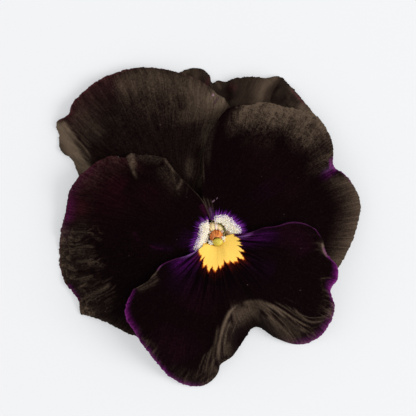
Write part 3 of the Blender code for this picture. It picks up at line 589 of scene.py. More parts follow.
RIGHT = Petal(
    name="right_petal",
    node="petal_right",
    layer=1,
    foot=[(2.4, 1.5, FOOT_HEIGHT), (2.5, 2.4, FOOT_HEIGHT), (2.2, 3.3, FOOT_HEIGHT)],
    neck=[(2.6, 0.6, 8.3), (2.0, 1.8, 8.3), (1.4, 3.5, 7.6)],
    lip=[(5.4, -0.5, 8.1), (3.8, 1.0, 8.7), (2.6, 2.3, 9.1), (1.3, 3.6, 9.3), (-1.15, 4.0, 9.5)],
    first_side=[(9.0, -3.1), (13.5, -6.5)],
    last_side=[(-1.6, 6.0), (-2.6, 8.6), (-2.6, 13.3), (-2.2, 18.1), (-1.1, 21.9)],
    rim=[
        (18.0, -10.5, -0.8), (22.5, -10.5, -1.4), (25.6, -6.9, -1.4), (28.0, -2.7, -1.4),
        (30.1, 2.8, -1.4), (30.7, 7.3, -1.4), (28.5, 12.1, -0.6), (26.8, 13.8, 0.1),
        (25.0, 14.9, 0.5), (24.9, 17.2, -0.3), (24.9, 19.5, -0.9), (23.0, 23.9, -0.9),
        (20.8, 26.3, -0.4), (15.2, 27.5, -0.1), (9.2, 28.5, 0.2), (7.3, 27.9, 0.0),
        (5.4, 28.0, 0.1), (2.9, 27.3, 0.3), (0.8, 25.1, 0.3),
    ],
    phase=4.2,
    folds=[
        Fold([(25.2, 15.0), (23.4, 14.0), (21.0, 12.8)], 0.5, 0.6, -0.6, (0.0, 0.3)),
        Fold([(25.4, 13.6), (23.0, 12.2), (20.5, 10.8)], 0.9, 0.9, 0.35, (0.0, 0.3)),
    ],
    paint=[
        # the broad band of sheen behind the rim
        Band("velvet", 0.6, 0.92, 8.6, 0.98, 0.66),
        Band("velvet", 0.5, 0.7, 7.0, 0.6, 0.8),
        Band("velvet", 0.06, 0.46, 6.4, 0.84, 1.15),
        Band("mottled", 0.5, 0.96, 10.0, 0.8, 0.5),
        Stroke("mottled", [(3.0, 22.4), (9.0, 22.0), (15.0, 21.0), (20.4, 16.6)], 2.6, 2.6, 1.2),
        Stroke("velvet", [(4.4, 22.2), (9.0, 21.2), (14.0, 20.2)], 3.0, 3.0, 0.24, (0.2, 0.2)),
        # painted shade: darker stretches in that band
        Stroke(
            "dark",
            [(3.0, 23.6), (6.0, 21.6), (12.0, 21.6), (17.0, 19.2), (20.4, 14.6)],
            1.4, 1.8, 0.42,
        ),
        Stroke("dark", [(1.0, 23.6), (2.2, 19.6)], 1.7, 1.7, 0.62),
        Stroke("dark", [(19.6, 25.0), (22.6, 21.0), (23.4, 17.0)], 1.6, 2.0, 0.36),
        # painted sheen along the left side, from the upper rim down to the beard
        Stroke(
            "velvet",
            [(-0.2, 24.6), (-2.0, 21.2), (-2.4, 18.0), (-2.2, 10.1)],
            0.2, 0.2, 0.5, (0.0, 0.2),
        ),
        Stroke("velvet", [(0.4, 25.0), (-1.0, 20.0), (-1.4, 12.0)], 0.6, 2.0, 0.3, (0.0, 0.5)),
        Stroke("velvet", [(-2.7, 9.2), (-1.7, 6.4), (-1.1, 4.2)], 0.25, 0.3, 0.6, (0.2, 0.0)),
        Stroke("velvet", [(-1.8, 8.8), (-1.1, 6.6), (-0.6, 4.2)], 0.25, 0.25, 0.5, (0.2, 0.0)),
        Stroke("velvet", [(-1.0, 8.6), (-0.5, 6.6), (0.0, 4.6)], 0.2, 0.2, 0.34, (0.2, 0.0)),
        Stroke("plum", [(-1.8, 7.6), (-0.8, 4.2)], 1.1, 1.1, 0.5, (0.5, 0.0)),
        Stroke("lilac", [(-1.2, 6.8), (-0.6, 4.6)], 0.5, 0.5, 0.26, (0.4, 0.0)),
        Stroke("blush", [(-0.5, 7.6), (0.0, 8.0)], 0.1, 0.1, 0.6, (0.0, 0.3)),
        Stroke("blush", [(0.3, 8.2), (0.5, 8.4)], 0.07, 0.07, 0.5, (0.0, 0.0)),
        # the nick in the outer rim and the furrow behind it: painted sheen and glow on its walls, painted
        # shade in the furrow
        Stroke("velvet", [(24.0, 11.8), (26.5, 12.6)], 1.2, 1.2, 0.45),
        Stroke("glow", [(24.9, 17.6), (25.0, 14.6)], 0.5, 0.35, 1.0, (0.3, 0.0)),
        Stroke("glow", [(24.2, 17.0), (24.3, 15.0)], 0.35, 0.35, 0.8, (0.4, 0.0)),
        Stroke("blush", [(22.0, 13.0), (22.1, 12.9)], 0.12, 0.12, 0.5),
        Stroke("glow", [(25.3, 15.0), (23.4, 13.9), (21.2, 13.0)], 0.25, 0.3, 0.6, (0.0, 0.8)),
        Stroke("lilac", [(24.8, 14.8), (23.0, 13.9), (21.6, 13.2)], 0.5, 0.6, 0.2, (0.0, 0.6)),
        Stroke("magenta", [(25.0, 14.0), (23.0, 12.8), (20.6, 12.2)], 0.8, 1.3, 0.42, (0.0, 0.8)),
        Stroke("dark", [(25.2, 14.2), (22.6, 12.8), (20.0, 12.0)], 0.2, 0.2, 0.9, (0.0, 0.5)),
        Stroke("mottled", [(25.0, 14.0), (20.6, 12.2)], 1.6, 1.6, 0.8),
        # a lit stretch of the rim, and faint flushes
        Band("glow", 0.42, 0.5, 0.35, 0.7),
        Stroke("violet", [(9.5, 12.0), (12.0, 8.0)], 4.5, 4.5, 0.12),
        Stroke("violet", [(4.6, 3.4), (6.4, 2.2)], 1.6, 1.6, 0.26),
        Stroke("wine", [(4.0, 20.0), (12.0, 14.0), (20.0, 8.0)], 6.0, 6.0, 0.14),
    ],
    ruffles=(11, 0.25),
    velvet=0.04,
)
describe(RIGHT)

# %% [markdown]
# ### The upper petals
# They lie at the back. The left one shows most: brown where its velvet catches the light, black towards
# the throat, and bent down steeply at its left end. Of the right one only ruffled ends show.

# %% The upper petals
UPPER_LEFT = Petal(
    name="upper_left_petal",
    node="petal_upper_left",
    layer=2,
    foot=[(-0.4, 4.5, FOOT_HEIGHT), (-1.0, 4.3, FOOT_HEIGHT), (-1.6, 4.0, FOOT_HEIGHT)],
    neck=[(-0.3, 4.9, 6.5), (-1.1, 4.7, 6.5), (-1.9, 4.3, 6.5)],
    lip=[(0.0, 5.4, 8.0), (-1.2, 5.1, 8.0), (-2.4, 4.8, 8.0)],
    first_side=[(2.4, 10.0), (4.0, 17.0), (4.4, 23.5)],
    last_side=[(-9.0, 6.0), (-16.0, 8.5)],
    rim=[
        (3.2, 27.6, 0.0), (1.8, 29.5, 0.0), (0.5, 30.3, 0.1), (-0.7, 31.4, 0.2), (-3.0, 33.1, 0.4),
        (-5.4, 34.2, 0.7), (-10.2, 35.6, 1.0), (-15.3, 36.1, 1.6), (-21.0, 35.0, 2.4),
        (-24.9, 33.2, 2.7), (-27.8, 31.0, 2.9), (-30.4, 28.0, 2.8), (-31.0, 26.2, 2.3),
        (-33.6, 24.5, 1.6), (-33.2, 22.0, 0.2), (-32.6, 18.4, -0.7), (-30.6, 16.9, -1.6),
        (-28.5, 12.8, -2.1), (-24.0, 10.0, -1.4),
    ],
    phase=5.1,
    folds=[
        Fold([(-32.6, 24.0), (-29.4, 21.2), (-27.2, 18.6), (-25.2, 15.6)], 0.8, 1.0, 0.8, (0.0, 0.3)),
        Fold([(-31.0, 20.0), (-28.4, 16.8), (-26.4, 14.2)], 0.6, 0.6, -0.4),
        Fold([(0.8, 29.8), (-0.4, 28.2)], 0.4, 0.4, -0.25),
    ],
    paint=[
        # sheen over the upper half
        Stroke(
            "velvet",
            [(-23.0, 31.5), (-15.0, 33.6), (-8.0, 32.6), (-2.0, 28.5)],
            4.0, 5.0, 0.66, (0.15, 0.05),
        ),
        Stroke(
            "velvet",
            [(-30.0, 27.0), (-22.0, 28.0), (-13.0, 28.0), (-4.0, 27.0)],
            7.0, 5.0, 0.34, (0.05, 0.05),
        ),
        Stroke(
            "velvet",
            [(-10.0, 34.0), (-3.0, 31.0), (0.6, 27.0), (0.4, 18.0)],
            5.0, 10.5, 0.66, (0.3, 0.45),
        ),
        Stroke(
            "velvet",
            [(-6.0, 33.0), (0.0, 29.0), (0.8, 25.4), (0.0, 20.0)],
            3.6, 5.4, 0.8, (0.4, 0.6),
        ),
        Stroke("velvet", [(-14.4, 32.0), (-13.0, 21.5)], 2.4, 2.4, 0.36, (0.2, 0.6)),
        Stroke("velvet", [(-9.6, 32.0), (-8.6, 24.0)], 1.2, 1.2, 0.5, (0.2, 0.6)),
        Stroke("velvet", [(-30.6, 26.5), (-26.0, 23.0), (-21.0, 19.6)], 3.6, 3.2, 0.48, (0.1, 0.5)),
        Stroke("velvet", [(-28.6, 25.8), (-25.0, 22.6), (-23.0, 20.8)], 0.5, 0.5, 0.4),
        Stroke("velvet", [(-27.4, 22.4), (-26.6, 22.9)], 0.35, 0.35, 0.6),
        # painted sheen and highlight on the flap that is bent down at the left end, and painted shade in
        # its furrows
        Stroke(
            "velvet",
            [(-33.2, 23.6), (-30.4, 19.4), (-27.8, 15.8), (-25.6, 12.2)],
            1.5, 3.0, 1.14, (0.0, 0.05),
        ),
        Stroke(
            "velvet",
            [(-32.6, 24.2), (-29.6, 21.2), (-27.2, 18.6), (-25.4, 15.8)],
            0.25, 0.6, 0.9, (0.0, 0.3),
        ),
        Stroke(
            "pale",
            [(-32.6, 23.4), (-29.8, 19.6), (-27.6, 16.0), (-25.8, 12.6)],
            0.6, 2.4, 0.66, (0.0, 0.3),
        ),
        Stroke("dark", [(-31.6, 22.0), (-29.2, 18.6), (-27.0, 14.6)], 0.1, 0.1, 0.5),
        Stroke("dark", [(-28.8, 16.2), (-27.0, 13.2)], 0.1, 0.1, 0.5),
        # sheen beside the right petal
        Stroke("velvet", [(-5.6, 19.6), (-5.4, 15.4), (-5.2, 11.0)], 1.8, 1.6, 0.44, (0.5, 0.3)),
        Stroke("velvet", [(0.2, 25.0), (-0.8, 21.4), (-2.2, 16.0)], 1.6, 3.0, 0.62, (0.2, 0.5)),
        Stroke("velvet", [(-1.4, 23.0), (-1.8, 16.0), (-2.6, 9.0)], 1.6, 1.6, 0.5, (0.1, 0.2)),
        # sheen on the flap's upper edge, and painted shade in its furrows
        Stroke("velvet", [(-31.9, 24.1), (-30.6, 22.3), (-28.8, 20.0)], 0.7, 0.7, 0.9, (0.0, 0.3)),
        Stroke("pale", [(-31.9, 24.0), (-30.4, 21.8)], 0.8, 0.8, 0.5, (0.0, 0.4)),
        Stroke("velvet", [(-30.6, 24.2), (-28.0, 20.8), (-26.0, 17.8)], 1.5, 0.6, 0.42, (0.1, 0.3)),
        Stroke("dark", [(-29.6, 22.0), (-28.0, 20.2), (-26.4, 18.0)], 0.16, 0.16, 0.5),
        Stroke("dark", [(-28.9, 18.5), (-27.8, 17.2), (-26.7, 16.0)], 0.16, 0.16, 0.95),
        Stroke("dark", [(-30.4, 18.2), (-28.8, 15.6), (-27.8, 13.4)], 0.12, 0.12, 0.55),
        Stroke("dark", [(-31.2, 21.4), (-30.0, 19.0), (-28.2, 16.0)], 0.1, 0.1, 0.5),
        Stroke("dark", [(-32.0, 22.8), (-31.0, 20.2)], 0.1, 0.1, 0.4),
        Stroke("dark", [(-29.2, 20.6), (-27.4, 18.4), (-26.4, 16.6)], 0.12, 0.12, 0.5),
        # painted shade: darker stretches in the sheen
        Stroke("dark", [(-18.6, 33.4), (-17.8, 29.6), (-17.0, 26.0)], 0.5, 0.5, 0.35),
        Stroke("dark", [(-7.4, 30.6), (-7.0, 26.6)], 1.4, 1.4, 0.34),
        Stroke("dark", [(-22.5, 31.0), (-21.0, 25.0)], 2.4, 2.4, 0.36),
        Stroke("mottled", [(-24.0, 27.0), (-15.0, 27.0), (-4.0, 25.0)], 7.0, 7.0, 0.5),
        # sheen and wine red along the rim
        Band("velvet", 0.42, 0.7, 3.6, 0.36, 0.8),
        Band("wine", 0.36, 0.74, 0.55, 1.1, 0.6),
        Band("wine", 0.4, 0.72, 7.0, 0.46, 0.8),
        Band("wine", 0.1, 0.36, 0.35, 0.7, 0.6),
        # sheen on the side near the throat, and a painted highlight on the pale upper right corner
        Stroke("velvet", [(-4.4, 9.0), (-2.6, 6.8), (-1.3, 4.8)], 0.3, 0.3, 0.85, (0.3, 0.0)),
        Stroke("pale", [(-2.0, 30.8), (1.4, 28.4), (1.8, 25.6)], 2.0, 2.4, 0.36, (0.2, 0.5)),
        # a bright nick in the rim, and painted shade in the gully that runs from it
        Stroke("blush", [(-0.25, 30.3), (-0.45, 29.95)], 0.12, 0.12, 0.9, (0.0, 0.0)),
        Stroke("blush", [(-0.5, 29.9), (-1.0, 29.2)], 0.08, 0.08, 0.4, (0.0, 0.5)),
        Stroke("dark", [(0.65, 29.75), (0.1, 28.7), (-0.7, 27.5)], 0.16, 0.16, 1.0, (0.1, 0.4)),
        Stroke("magenta", [(0.65, 29.75), (0.1, 28.7), (-0.7, 27.5)], 0.16, 0.16, 0.74, (0.1, 0.4)),
    ],
    ruffles=(15, 0.22),
    velvet=0.2,
)
describe(UPPER_LEFT)
UPPER_RIGHT = Petal(
    name="upper_right_petal",
    node="petal_upper_right",
    layer=3,
    foot=[(1.6, 4.0, FOOT_HEIGHT), (1.0, 4.3, FOOT_HEIGHT), (0.4, 4.5, FOOT_HEIGHT)],
    neck=[(2.2, 4.3, 5.9), (1.4, 4.7, 5.9), (0.6, 5.0, 5.9)],
    lip=[(2.8, 4.6, 6.9), (1.9, 5.1, 6.9), (0.9, 5.4, 6.9)],
    first_side=[(10.0, 9.0), (16.0, 14.0)],
    last_side=[(-2.0, 11.0), (-7.0, 19.0)],
    rim=[
        (21.0, 19.0, 0.0), (22.0, 23.0, 0.0), (20.6, 26.8, 0.3), (18.6, 29.2, 0.6),
        (16.4, 31.8, 0.7), (13.5, 34.3, 0.4), (11.0, 33.9, 0.6), (7.6, 34.1, 1.4),
        (3.9, 33.7, 0.4), (2.0, 33.1, -0.4), (0.5, 33.4, -0.5), (-0.5, 32.8, -0.7),
        (-1.2, 34.4, -0.4), (-2.3, 35.6, -0.1), (-4.9, 36.0, 0.0), (-7.8, 34.9, -0.1),
        (-11.0, 31.0, 0.0), (-13.0, 27.0, 0.0),
    ],
    phase=2.7,
    folds=[
        Fold([(14.2, 33.6), (12.2, 31.0), (11.6, 27.6)], 1.2, 0.6, -0.8, (0.0, 0.2)),
        Fold([(8.0, 33.6), (7.6, 29.0)], 1.8, 1.6, 0.6, (0.0, 0.3)),
        Fold([(13.2, 34.2), (12.0, 33.0)], 0.5, 0.6, 0.35, (0.0, 0.3)),
        Fold([(17.4, 29.6), (15.4, 27.6)], 1.4, 1.4, 0.4),
        Fold([(-4.2, 35.2), (-5.2, 32.6)], 0.9, 0.9, 0.4, (0.0, 0.3)),
        Fold([(3.0, 32.4), (3.4, 29.6)], 1.0, 1.0, -0.4, (0.0, 0.3)),
    ],
    paint=[
        # sheen and wine on the ruffles that show, and painted shade in the furrows between them
        Stroke(
            "velvet",
            [(12.8, 34.0), (10.6, 32.0), (9.4, 28.6), (8.4, 25.0)],
            1.1, 3.0, 0.8, (0.0, 0.0),
        ),
        Stroke("velvet", [(20.6, 26.8), (18.6, 27.4)], 1.9, 1.9, 0.85, (0.0, 0.0)),
        Stroke("velvet", [(22.0, 22.0), (21.0, 25.0)], 1.6, 1.6, 0.7, (0.0, 0.0)),
        Stroke("velvet", [(-4.6, 35.2), (-3.6, 33.6), (-2.4, 31.6)], 1.7, 1.4, 0.6, (0.0, 0.0)),
        Stroke("velvet", [(0.4, 33.0), (1.2, 31.6)], 0.7, 0.7, 0.66, (0.0, 0.0)),
        Stroke("wine", [(-1.2, 33.8), (-2.2, 31.8)], 0.8, 0.6, 0.56, (0.0, 0.0)),
        Stroke("velvet", [(-7.4, 34.9), (-5.0, 35.7)], 0.5, 1.2, 0.7, (0.0, 0.2)),
        Stroke("dark", [(-3.6, 34.2), (-1.2, 31.8)], 1.0, 0.7, 0.36),
        Stroke("wine", [(2.6, 32.6), (5.0, 31.4)], 1.2, 1.2, 0.5),
        Stroke("wine", [(15.6, 32.0), (17.8, 29.6), (19.4, 27.8)], 0.3, 0.4, 0.9),
        Stroke("velvet", [(14.6, 33.0), (17.4, 30.0), (18.6, 28.4)], 0.6, 0.8, 0.62),
        Stroke("dark", [(14.0, 33.0), (12.4, 31.0), (11.6, 28.0)], 0.7, 0.25, 0.5),
        Stroke("dark", [(15.5, 30.0), (12.5, 28.4)], 1.0, 1.0, 0.36),
        Stroke("dark", [(17.4, 30.4), (16.6, 28.4)], 1.0, 1.0, 0.3),
        Stroke("dark", [(3.8, 28.8), (2.8, 31.0), (2.2, 32.4)], 1.6, 1.2, 0.6),
    ],
    ruffles=(9, 0.3),
    velvet=0.48,
)
describe(UPPER_RIGHT)
PETALS = (LOWER, LEFT, RIGHT, UPPER_LEFT, UPPER_RIGHT)
# the painted sheen and the painted shade that takes it away; flushes, of which magenta is partly painted
# light through thin rims; painted highlights and glow, and pale pink specks
SHEENS = ("velvet", "crinkle", "mottled", "dark")
FLUSHES = ("wine", "plum", "violet", "magenta")
LIGHTS = ("pale", "glow", "lilac", "blush")
TINTS = SHEENS + FLUSHES + LIGHTS
print(len(PETALS), "petals are described")

# %% [markdown]
# ### From curves to a surface
# The blade is a Coons patch: points spread evenly between the four curves. Its height comes from the
# dome, the lift of the rim and the folds. A fold's height falls off with the distance from its path,
# and it flattens out where the paths end.


# %% Curves, patches and distances
def smooth_run(points, count):
    """count points, evenly spaced along a smooth curve through the given ones."""
    points = np.array(points, float)
    steps = np.linalg.norm(np.diff(points, axis=0), axis=1)
    at = np.concatenate([[0.0], np.cumsum(steps)])
    slopes = np.gradient(points, at, axis=0)
    where = np.linspace(0, at[-1], 40 * len(points))
    left = np.clip(np.searchsorted(at, where, side="right") - 1, 0, len(steps) - 1)
    gap = steps[left, None]
    t = (where - at[left])[:, None] / gap
    run = (
        (2 * t**3 - 3 * t**2 + 1) * points[left]
        + (t**3 - 2 * t**2 + t) * gap * slopes[left]
        + (3 * t**2 - 2 * t**3) * points[left + 1]
        + (t**3 - t**2) * gap * slopes[left + 1]
    )
    travelled = np.concatenate([[0.0], np.cumsum(np.linalg.norm(np.diff(run, axis=0), axis=1))])
    even = np.linspace(0, travelled[-1], count)
    return np.stack([np.interp(even, travelled, run[:, k]) for k in range(run.shape[1])], axis=1)


def patch(lip, rim, first_side, last_side):
    """Points spread smoothly between four curves: an array by steps outwards and steps across."""
    out = np.linspace(0, 1, len(first_side))[:, None, None]
    across = np.linspace(0, 1, len(lip))[None, :, None]
    between_ends = (1 - out) * lip[None] + out * rim[None]
    between_sides = (1 - across) * first_side[:, None] + across * last_side[:, None]
    corners = (1 - out) * ((1 - across) * lip[0] + across * lip[-1])
    corners = corners + out * ((1 - across) * rim[0] + across * rim[-1])
    return between_ends + between_sides - corners


def step_up(value, start, end):
    """0 below start, 1 above end, smooth between."""
    share = np.clip((value - start) / (end - start), 0, 1)
    return share**2 * (3 - 2 * share)


def distance_to_path(places, path):
    """Distance to a path in the plan view, below 0 on its right, and how far along it is nearest."""
    path = np.array(path, float)
    if len(path) > 2:
        path = smooth_run(path, 4 * len(path))
    lengths = np.linalg.norm(np.diff(path, axis=0), axis=1)
    starts = np.concatenate([[0.0], np.cumsum(lengths)])
    nearest = np.full(places.shape[:-1], np.inf)
    signed = np.zeros(nearest.shape)
    share_there = np.zeros(nearest.shape)
    for index in range(len(lengths)):
        run = path[index + 1] - path[index]
        from_start = places - path[index]
        share = np.clip((from_start @ run) / (run @ run), 0, 1)
        away = np.linalg.norm(from_start - share[..., None] * run, axis=-1)
        on_left = run[0] * from_start[..., 1] - run[1] * from_start[..., 0] > 0
        closer = away < nearest
        nearest = np.where(closer, away, nearest)
        signed = np.where(closer, np.where(on_left, away, -away), signed)
        so_far = (starts[index] + share * lengths[index]) / starts[-1]
        share_there = np.where(closer, so_far, share_there)
    return signed, share_there


def swell(places, touch):
    """1 on the path of a fold or a stroke, falling off on both sides and towards its ends."""
    away, share = distance_to_path(places, touch.path)
    swollen = np.exp(-((away / np.where(away > 0, touch.left, touch.right)) ** 2))
    first, last = touch.fade
    if first:
        swollen = swollen * step_up(share, 0, first)
    if last:
        swollen = swollen * step_up(1 - share, 0, last)
    return swollen


def wander(across, seed, waves, height):
    """A smooth uneven line: a few sines whose strength and phase are drawn once for each petal."""
    draw = np.random.default_rng(seed)
    total = np.zeros_like(across)
    for wave in waves:
        total += np.sin(math.pi * wave * across + draw.uniform(0, 6.3)) * 0.4
        total += np.sin(2 * math.pi * wave * across + draw.uniform(0, 6.3)) * draw.uniform(0.5, 1)
    return total * height / len(waves)


lower_rim = smooth_run(LOWER.rim, 200)
rim_length = np.linalg.norm(np.diff(lower_rim, axis=0), axis=1).sum()
print("the lower petal's rim is", round(float(rim_length)), "mm long")


# %% The surface of a petal
NIBBLE_WAVES, NIBBLE_DEPTH = (19, 31, 47, 71, 97, 120), 0.3  # small bites out of every rim
NIBBLE_POWER, RUFFLE_POWER = 14, 6  # how close to the rim the bites and the ruffles stay
END_SHARE = 0.04  # the share of the rim over which bites and bands of paint fade out
FAR_AWAY = 99.0  # mm, for points that no rim or beard is near
FLOW_POWER = 4  # how sharply touches of one tint flow together


def dome(layer, x, y):
    return FACE_HEIGHT - LAYER_STEP * layer - DROOP * (x**2 + y**2)


def petal_surface(petal):
    """The petal's middle surface, by steps outwards and across, and each point's way to the rim."""
    foot = smooth_run(petal.foot, ACROSS + 1)
    lip = smooth_run(petal.lip, ACROSS + 1)
    rim = smooth_run(petal.rim, ACROSS + 1)
    across = np.linspace(0, 1, ACROSS + 1)
    seed = len(petal.rim) * 10 + petal.layer
    outward = rim[:, :2] - rim[:, :2].mean(axis=0)
    outward /= np.linalg.norm(outward, axis=1, keepdims=True)
    ends = step_up(across, 0, END_SHARE) * step_up(1 - across, 0, END_SHARE)
    nibbles = wander(across, seed, NIBBLE_WAVES, NIBBLE_DEPTH) * ends
    first_side = [petal.lip[0][:2], *petal.first_side, petal.rim[0][:2]]
    last_side = [petal.lip[-1][:2], *petal.last_side, petal.rim[-1][:2]]
    places = patch(
        lip[:, :2],
        rim[:, :2],
        smooth_run(first_side, BLADE_STEPS + 1),
        smooth_run(last_side, BLADE_STEPS + 1),
    )
    out = np.linspace(0, 1, BLADE_STEPS + 1)[:, None]
    places = places + outward[None] * (nibbles * out**NIBBLE_POWER)[..., None]
    height = dome(petal.layer, places[..., 0], places[..., 1])
    sunk = dome(petal.layer, lip[:, 0], lip[:, 1]) - lip[:, 2]
    height = height - sunk * np.clip(1 - out / THROAT_SHARE, 0, 1) ** 2
    height = height + rim[:, 2] * out**LIFT_POWER
    ripples = np.sin(2 * math.pi * RIPPLES * across + petal.phase)
    height = height + RIPPLE_HEIGHT * ripples * out**LIFT_POWER
    waves, wave_height = petal.ruffles
    ruffles = wander(across, seed + 1, (waves, waves * 1.7, waves * 2.6), wave_height)
    height = height + ruffles * out**RUFFLE_POWER
    for fold in petal.folds:
        height = height + fold.height * swell(places, fold)
    height = np.maximum(height, FLESH / 2)
    blade = np.concatenate([places, height[..., None]], axis=2)
    neck = smooth_run(petal.neck, ACROSS + 1)
    claw = []
    for step in range(CLAW_STEPS):
        t = step / CLAW_STEPS
        claw.append((1 - t) * (1 - 2 * t) * foot + 4 * t * (1 - t) * neck + t * (2 * t - 1) * blade[0])
    surface = np.concatenate([claw, blade])
    spoke = np.linalg.norm(rim[:, :2] - lip[:, :2], axis=1)
    to_rim = np.concatenate([np.full((CLAW_STEPS, ACROSS + 1), FAR_AWAY), (1 - out) * spoke])
    return surface, to_rim


def paint_on(petal, surface, to_rim):
    """Each tint's strength at each point of the surface. Touches of one tint flow together."""
    across = np.linspace(0, 1, ACROSS + 1)
    total = {tint: np.zeros(surface.shape[:2]) for tint in TINTS}
    total["velvet"] += petal.velvet**FLOW_POWER
    for touch in petal.paint:
        if isinstance(touch, Stroke):
            coat = swell(surface[..., :2], touch)
        else:
            window = step_up(across, touch.first - END_SHARE, touch.first + END_SHARE)
            window = window * step_up(1 - across, 1 - touch.last - END_SHARE, 1 - touch.last + END_SHARE)
            coat = np.clip(1 - to_rim / touch.depth, 0, 1) ** touch.power * window
        total[touch.tint] += (touch.strength * coat) ** FLOW_POWER
    return {tint: strength ** (1 / FLOW_POWER) for tint, strength in total.items()}


print("a petal is a grid of", BLADE_STEPS + CLAW_STEPS, "by", ACROSS, "faces")

# %% [markdown]
# ### From a surface to a blade with thickness
# A grid primitive is bent to the surface. Its paint is stored on its points, and Solidify gives it a
# thickness that thins out towards the rim. Solidify also gives the new underside its own material.


# %% Pieces in the scene
def deselect():
    bpy.ops.object.select_all(action="DESELECT")


def pick(thing):
    deselect()
    thing.select_set(True)
    bpy.context.view_layer.objects.active = thing
    return thing


def placed(points):
    """Points drawn round the throat, in metres in the frame."""
    return (np.asarray(points, float) + THROAT) * MM


def set_points(thing, points):
    thing.data.vertices.foreach_set("co", np.asarray(points, np.float32).ravel())
    thing.data.update()


def store(thing, name, values):
    """Keeps a value for each point on the piece."""
    kept = thing.data.attributes.new(name, "FLOAT", "POINT")
    kept.data.foreach_set("value", np.asarray(values, np.float32).ravel())


def wear(thing, *finishes):
    thing.data.materials.clear()
    for finish in finishes:
        thing.data.materials.append(finish.material)


def apply(thing, kind, **settings):
    """Adds a modifier and applies it."""
    pick(thing)
    modifier = thing.modifiers.new(kind.lower(), kind)
    for setting, value in settings.items():
        setattr(modifier, setting, value)
    bpy.ops.object.modifier_apply(modifier=modifier.name)


def settle(thing, slot, *nodes):
    """Hands a finished piece to the frame."""
    thing.data.shade_smooth()
    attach(thing, "root")
    for node in nodes:
        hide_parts(node)
    triangles = sum(len(face.vertices) - 2 for face in thing.data.polygons)
    print(thing.name, "has", triangles, "triangles")
    return thing


def grid_of(name, points):
    """A grid primitive bent to an array of points."""
    outwards, across = points.shape[0] - 1, points.shape[1] - 1
    deselect()
    bpy.ops.mesh.primitive_grid_add(x_subdivisions=outwards, y_subdivisions=across, size=1)
    grid = bpy.context.object
    grid.name = name
    flat = np.empty(len(grid.data.vertices) * 3, np.float32)
    grid.data.vertices.foreach_get("co", flat)
    flat = flat.reshape(-1, 3)
    rows = np.rint((flat[:, 0] + 0.5) * outwards).astype(int)
    columns = np.rint((flat[:, 1] + 0.5) * across).astype(int)
    set_points(grid, placed(points[rows, columns]))
    return grid, rows, columns


print("the throat stands at", [float(value) for value in THROAT], "mm in the frame")

# %% [markdown]
# ### Velvet
# A pansy's petal is covered with tiny cones of cells that trap the light. It looks almost black where it
# lies flat, and brownish grey where it is ruffled. That sheen is painted on, so that it stays where the
# photo shows it. `velvet` is plain painted sheen, `crinkle` keeps it to the crests of fine wrinkles,
# `mottled` breaks it up into specks, and `dark` takes it away, which paints shade into hollows, furrows
# and darker stretches. Flushes of wine, plum and violet lie below the sheen, and so does magenta, which
# is partly the petal's own colour and partly painted light that shines through thin rims. Above the sheen
# lie painted highlights on pale crests, painted glow on lit rims and lips, pale pink specks and specks of
# dust. Fine veins fan out from the throat, so the streaks are noise read by direction, not by place. The
# upper petals' streaks fan out from a hub of their own, and those of the right one, which shows least,
# are softer.

# %% Petal finishes
LIGHT = 1.12  # how strongly a surface that faces up is lit
DEGREES = 57.3  # in a radian


def tone(red, green, blue):
    """The surface colour that looks like this screen colour, in 8-bit steps, in the photo's light."""
    steps = np.array([red, green, blue]) / 255
    linear = np.where(steps > 0.04045, ((steps + 0.055) / 1.055) ** 2.4, steps / 12.92)
    return tuple(float(value) for value in linear / LIGHT)


BLACK = tone(9, 1, 3)
# the colour of the painted sheen
BROWN_GREY = tone(90, 75, 62)
DUST = tone(150, 124, 118)
# magenta is partly painted light through thin rims; pale, glow and lilac are painted highlights and glow
# on crests, rims and lips; blush is for pale pink specks
TONES = {
    "wine": tone(72, 20, 34),
    "plum": tone(68, 14, 48),
    "violet": tone(66, 10, 76),
    "magenta": tone(112, 24, 108),
    "pale": tone(128, 110, 92),
    "glow": tone(122, 50, 116),
    "lilac": tone(150, 104, 176),
    "blush": tone(226, 176, 206),
}


def fan_of_streaks(finish, x, y, width, along, stretch=0.0):
    """Noise in streaks that fan out from the throat. width is in degrees."""
    reach = (x * x + y * y) ** 0.5
    spokes = DEGREES / width
    vector = finish.vector(x / reach * spokes, y / reach * spokes, reach * along + stretch)
    return finish.grain(vector, 1.0, 2.0, 0.6)


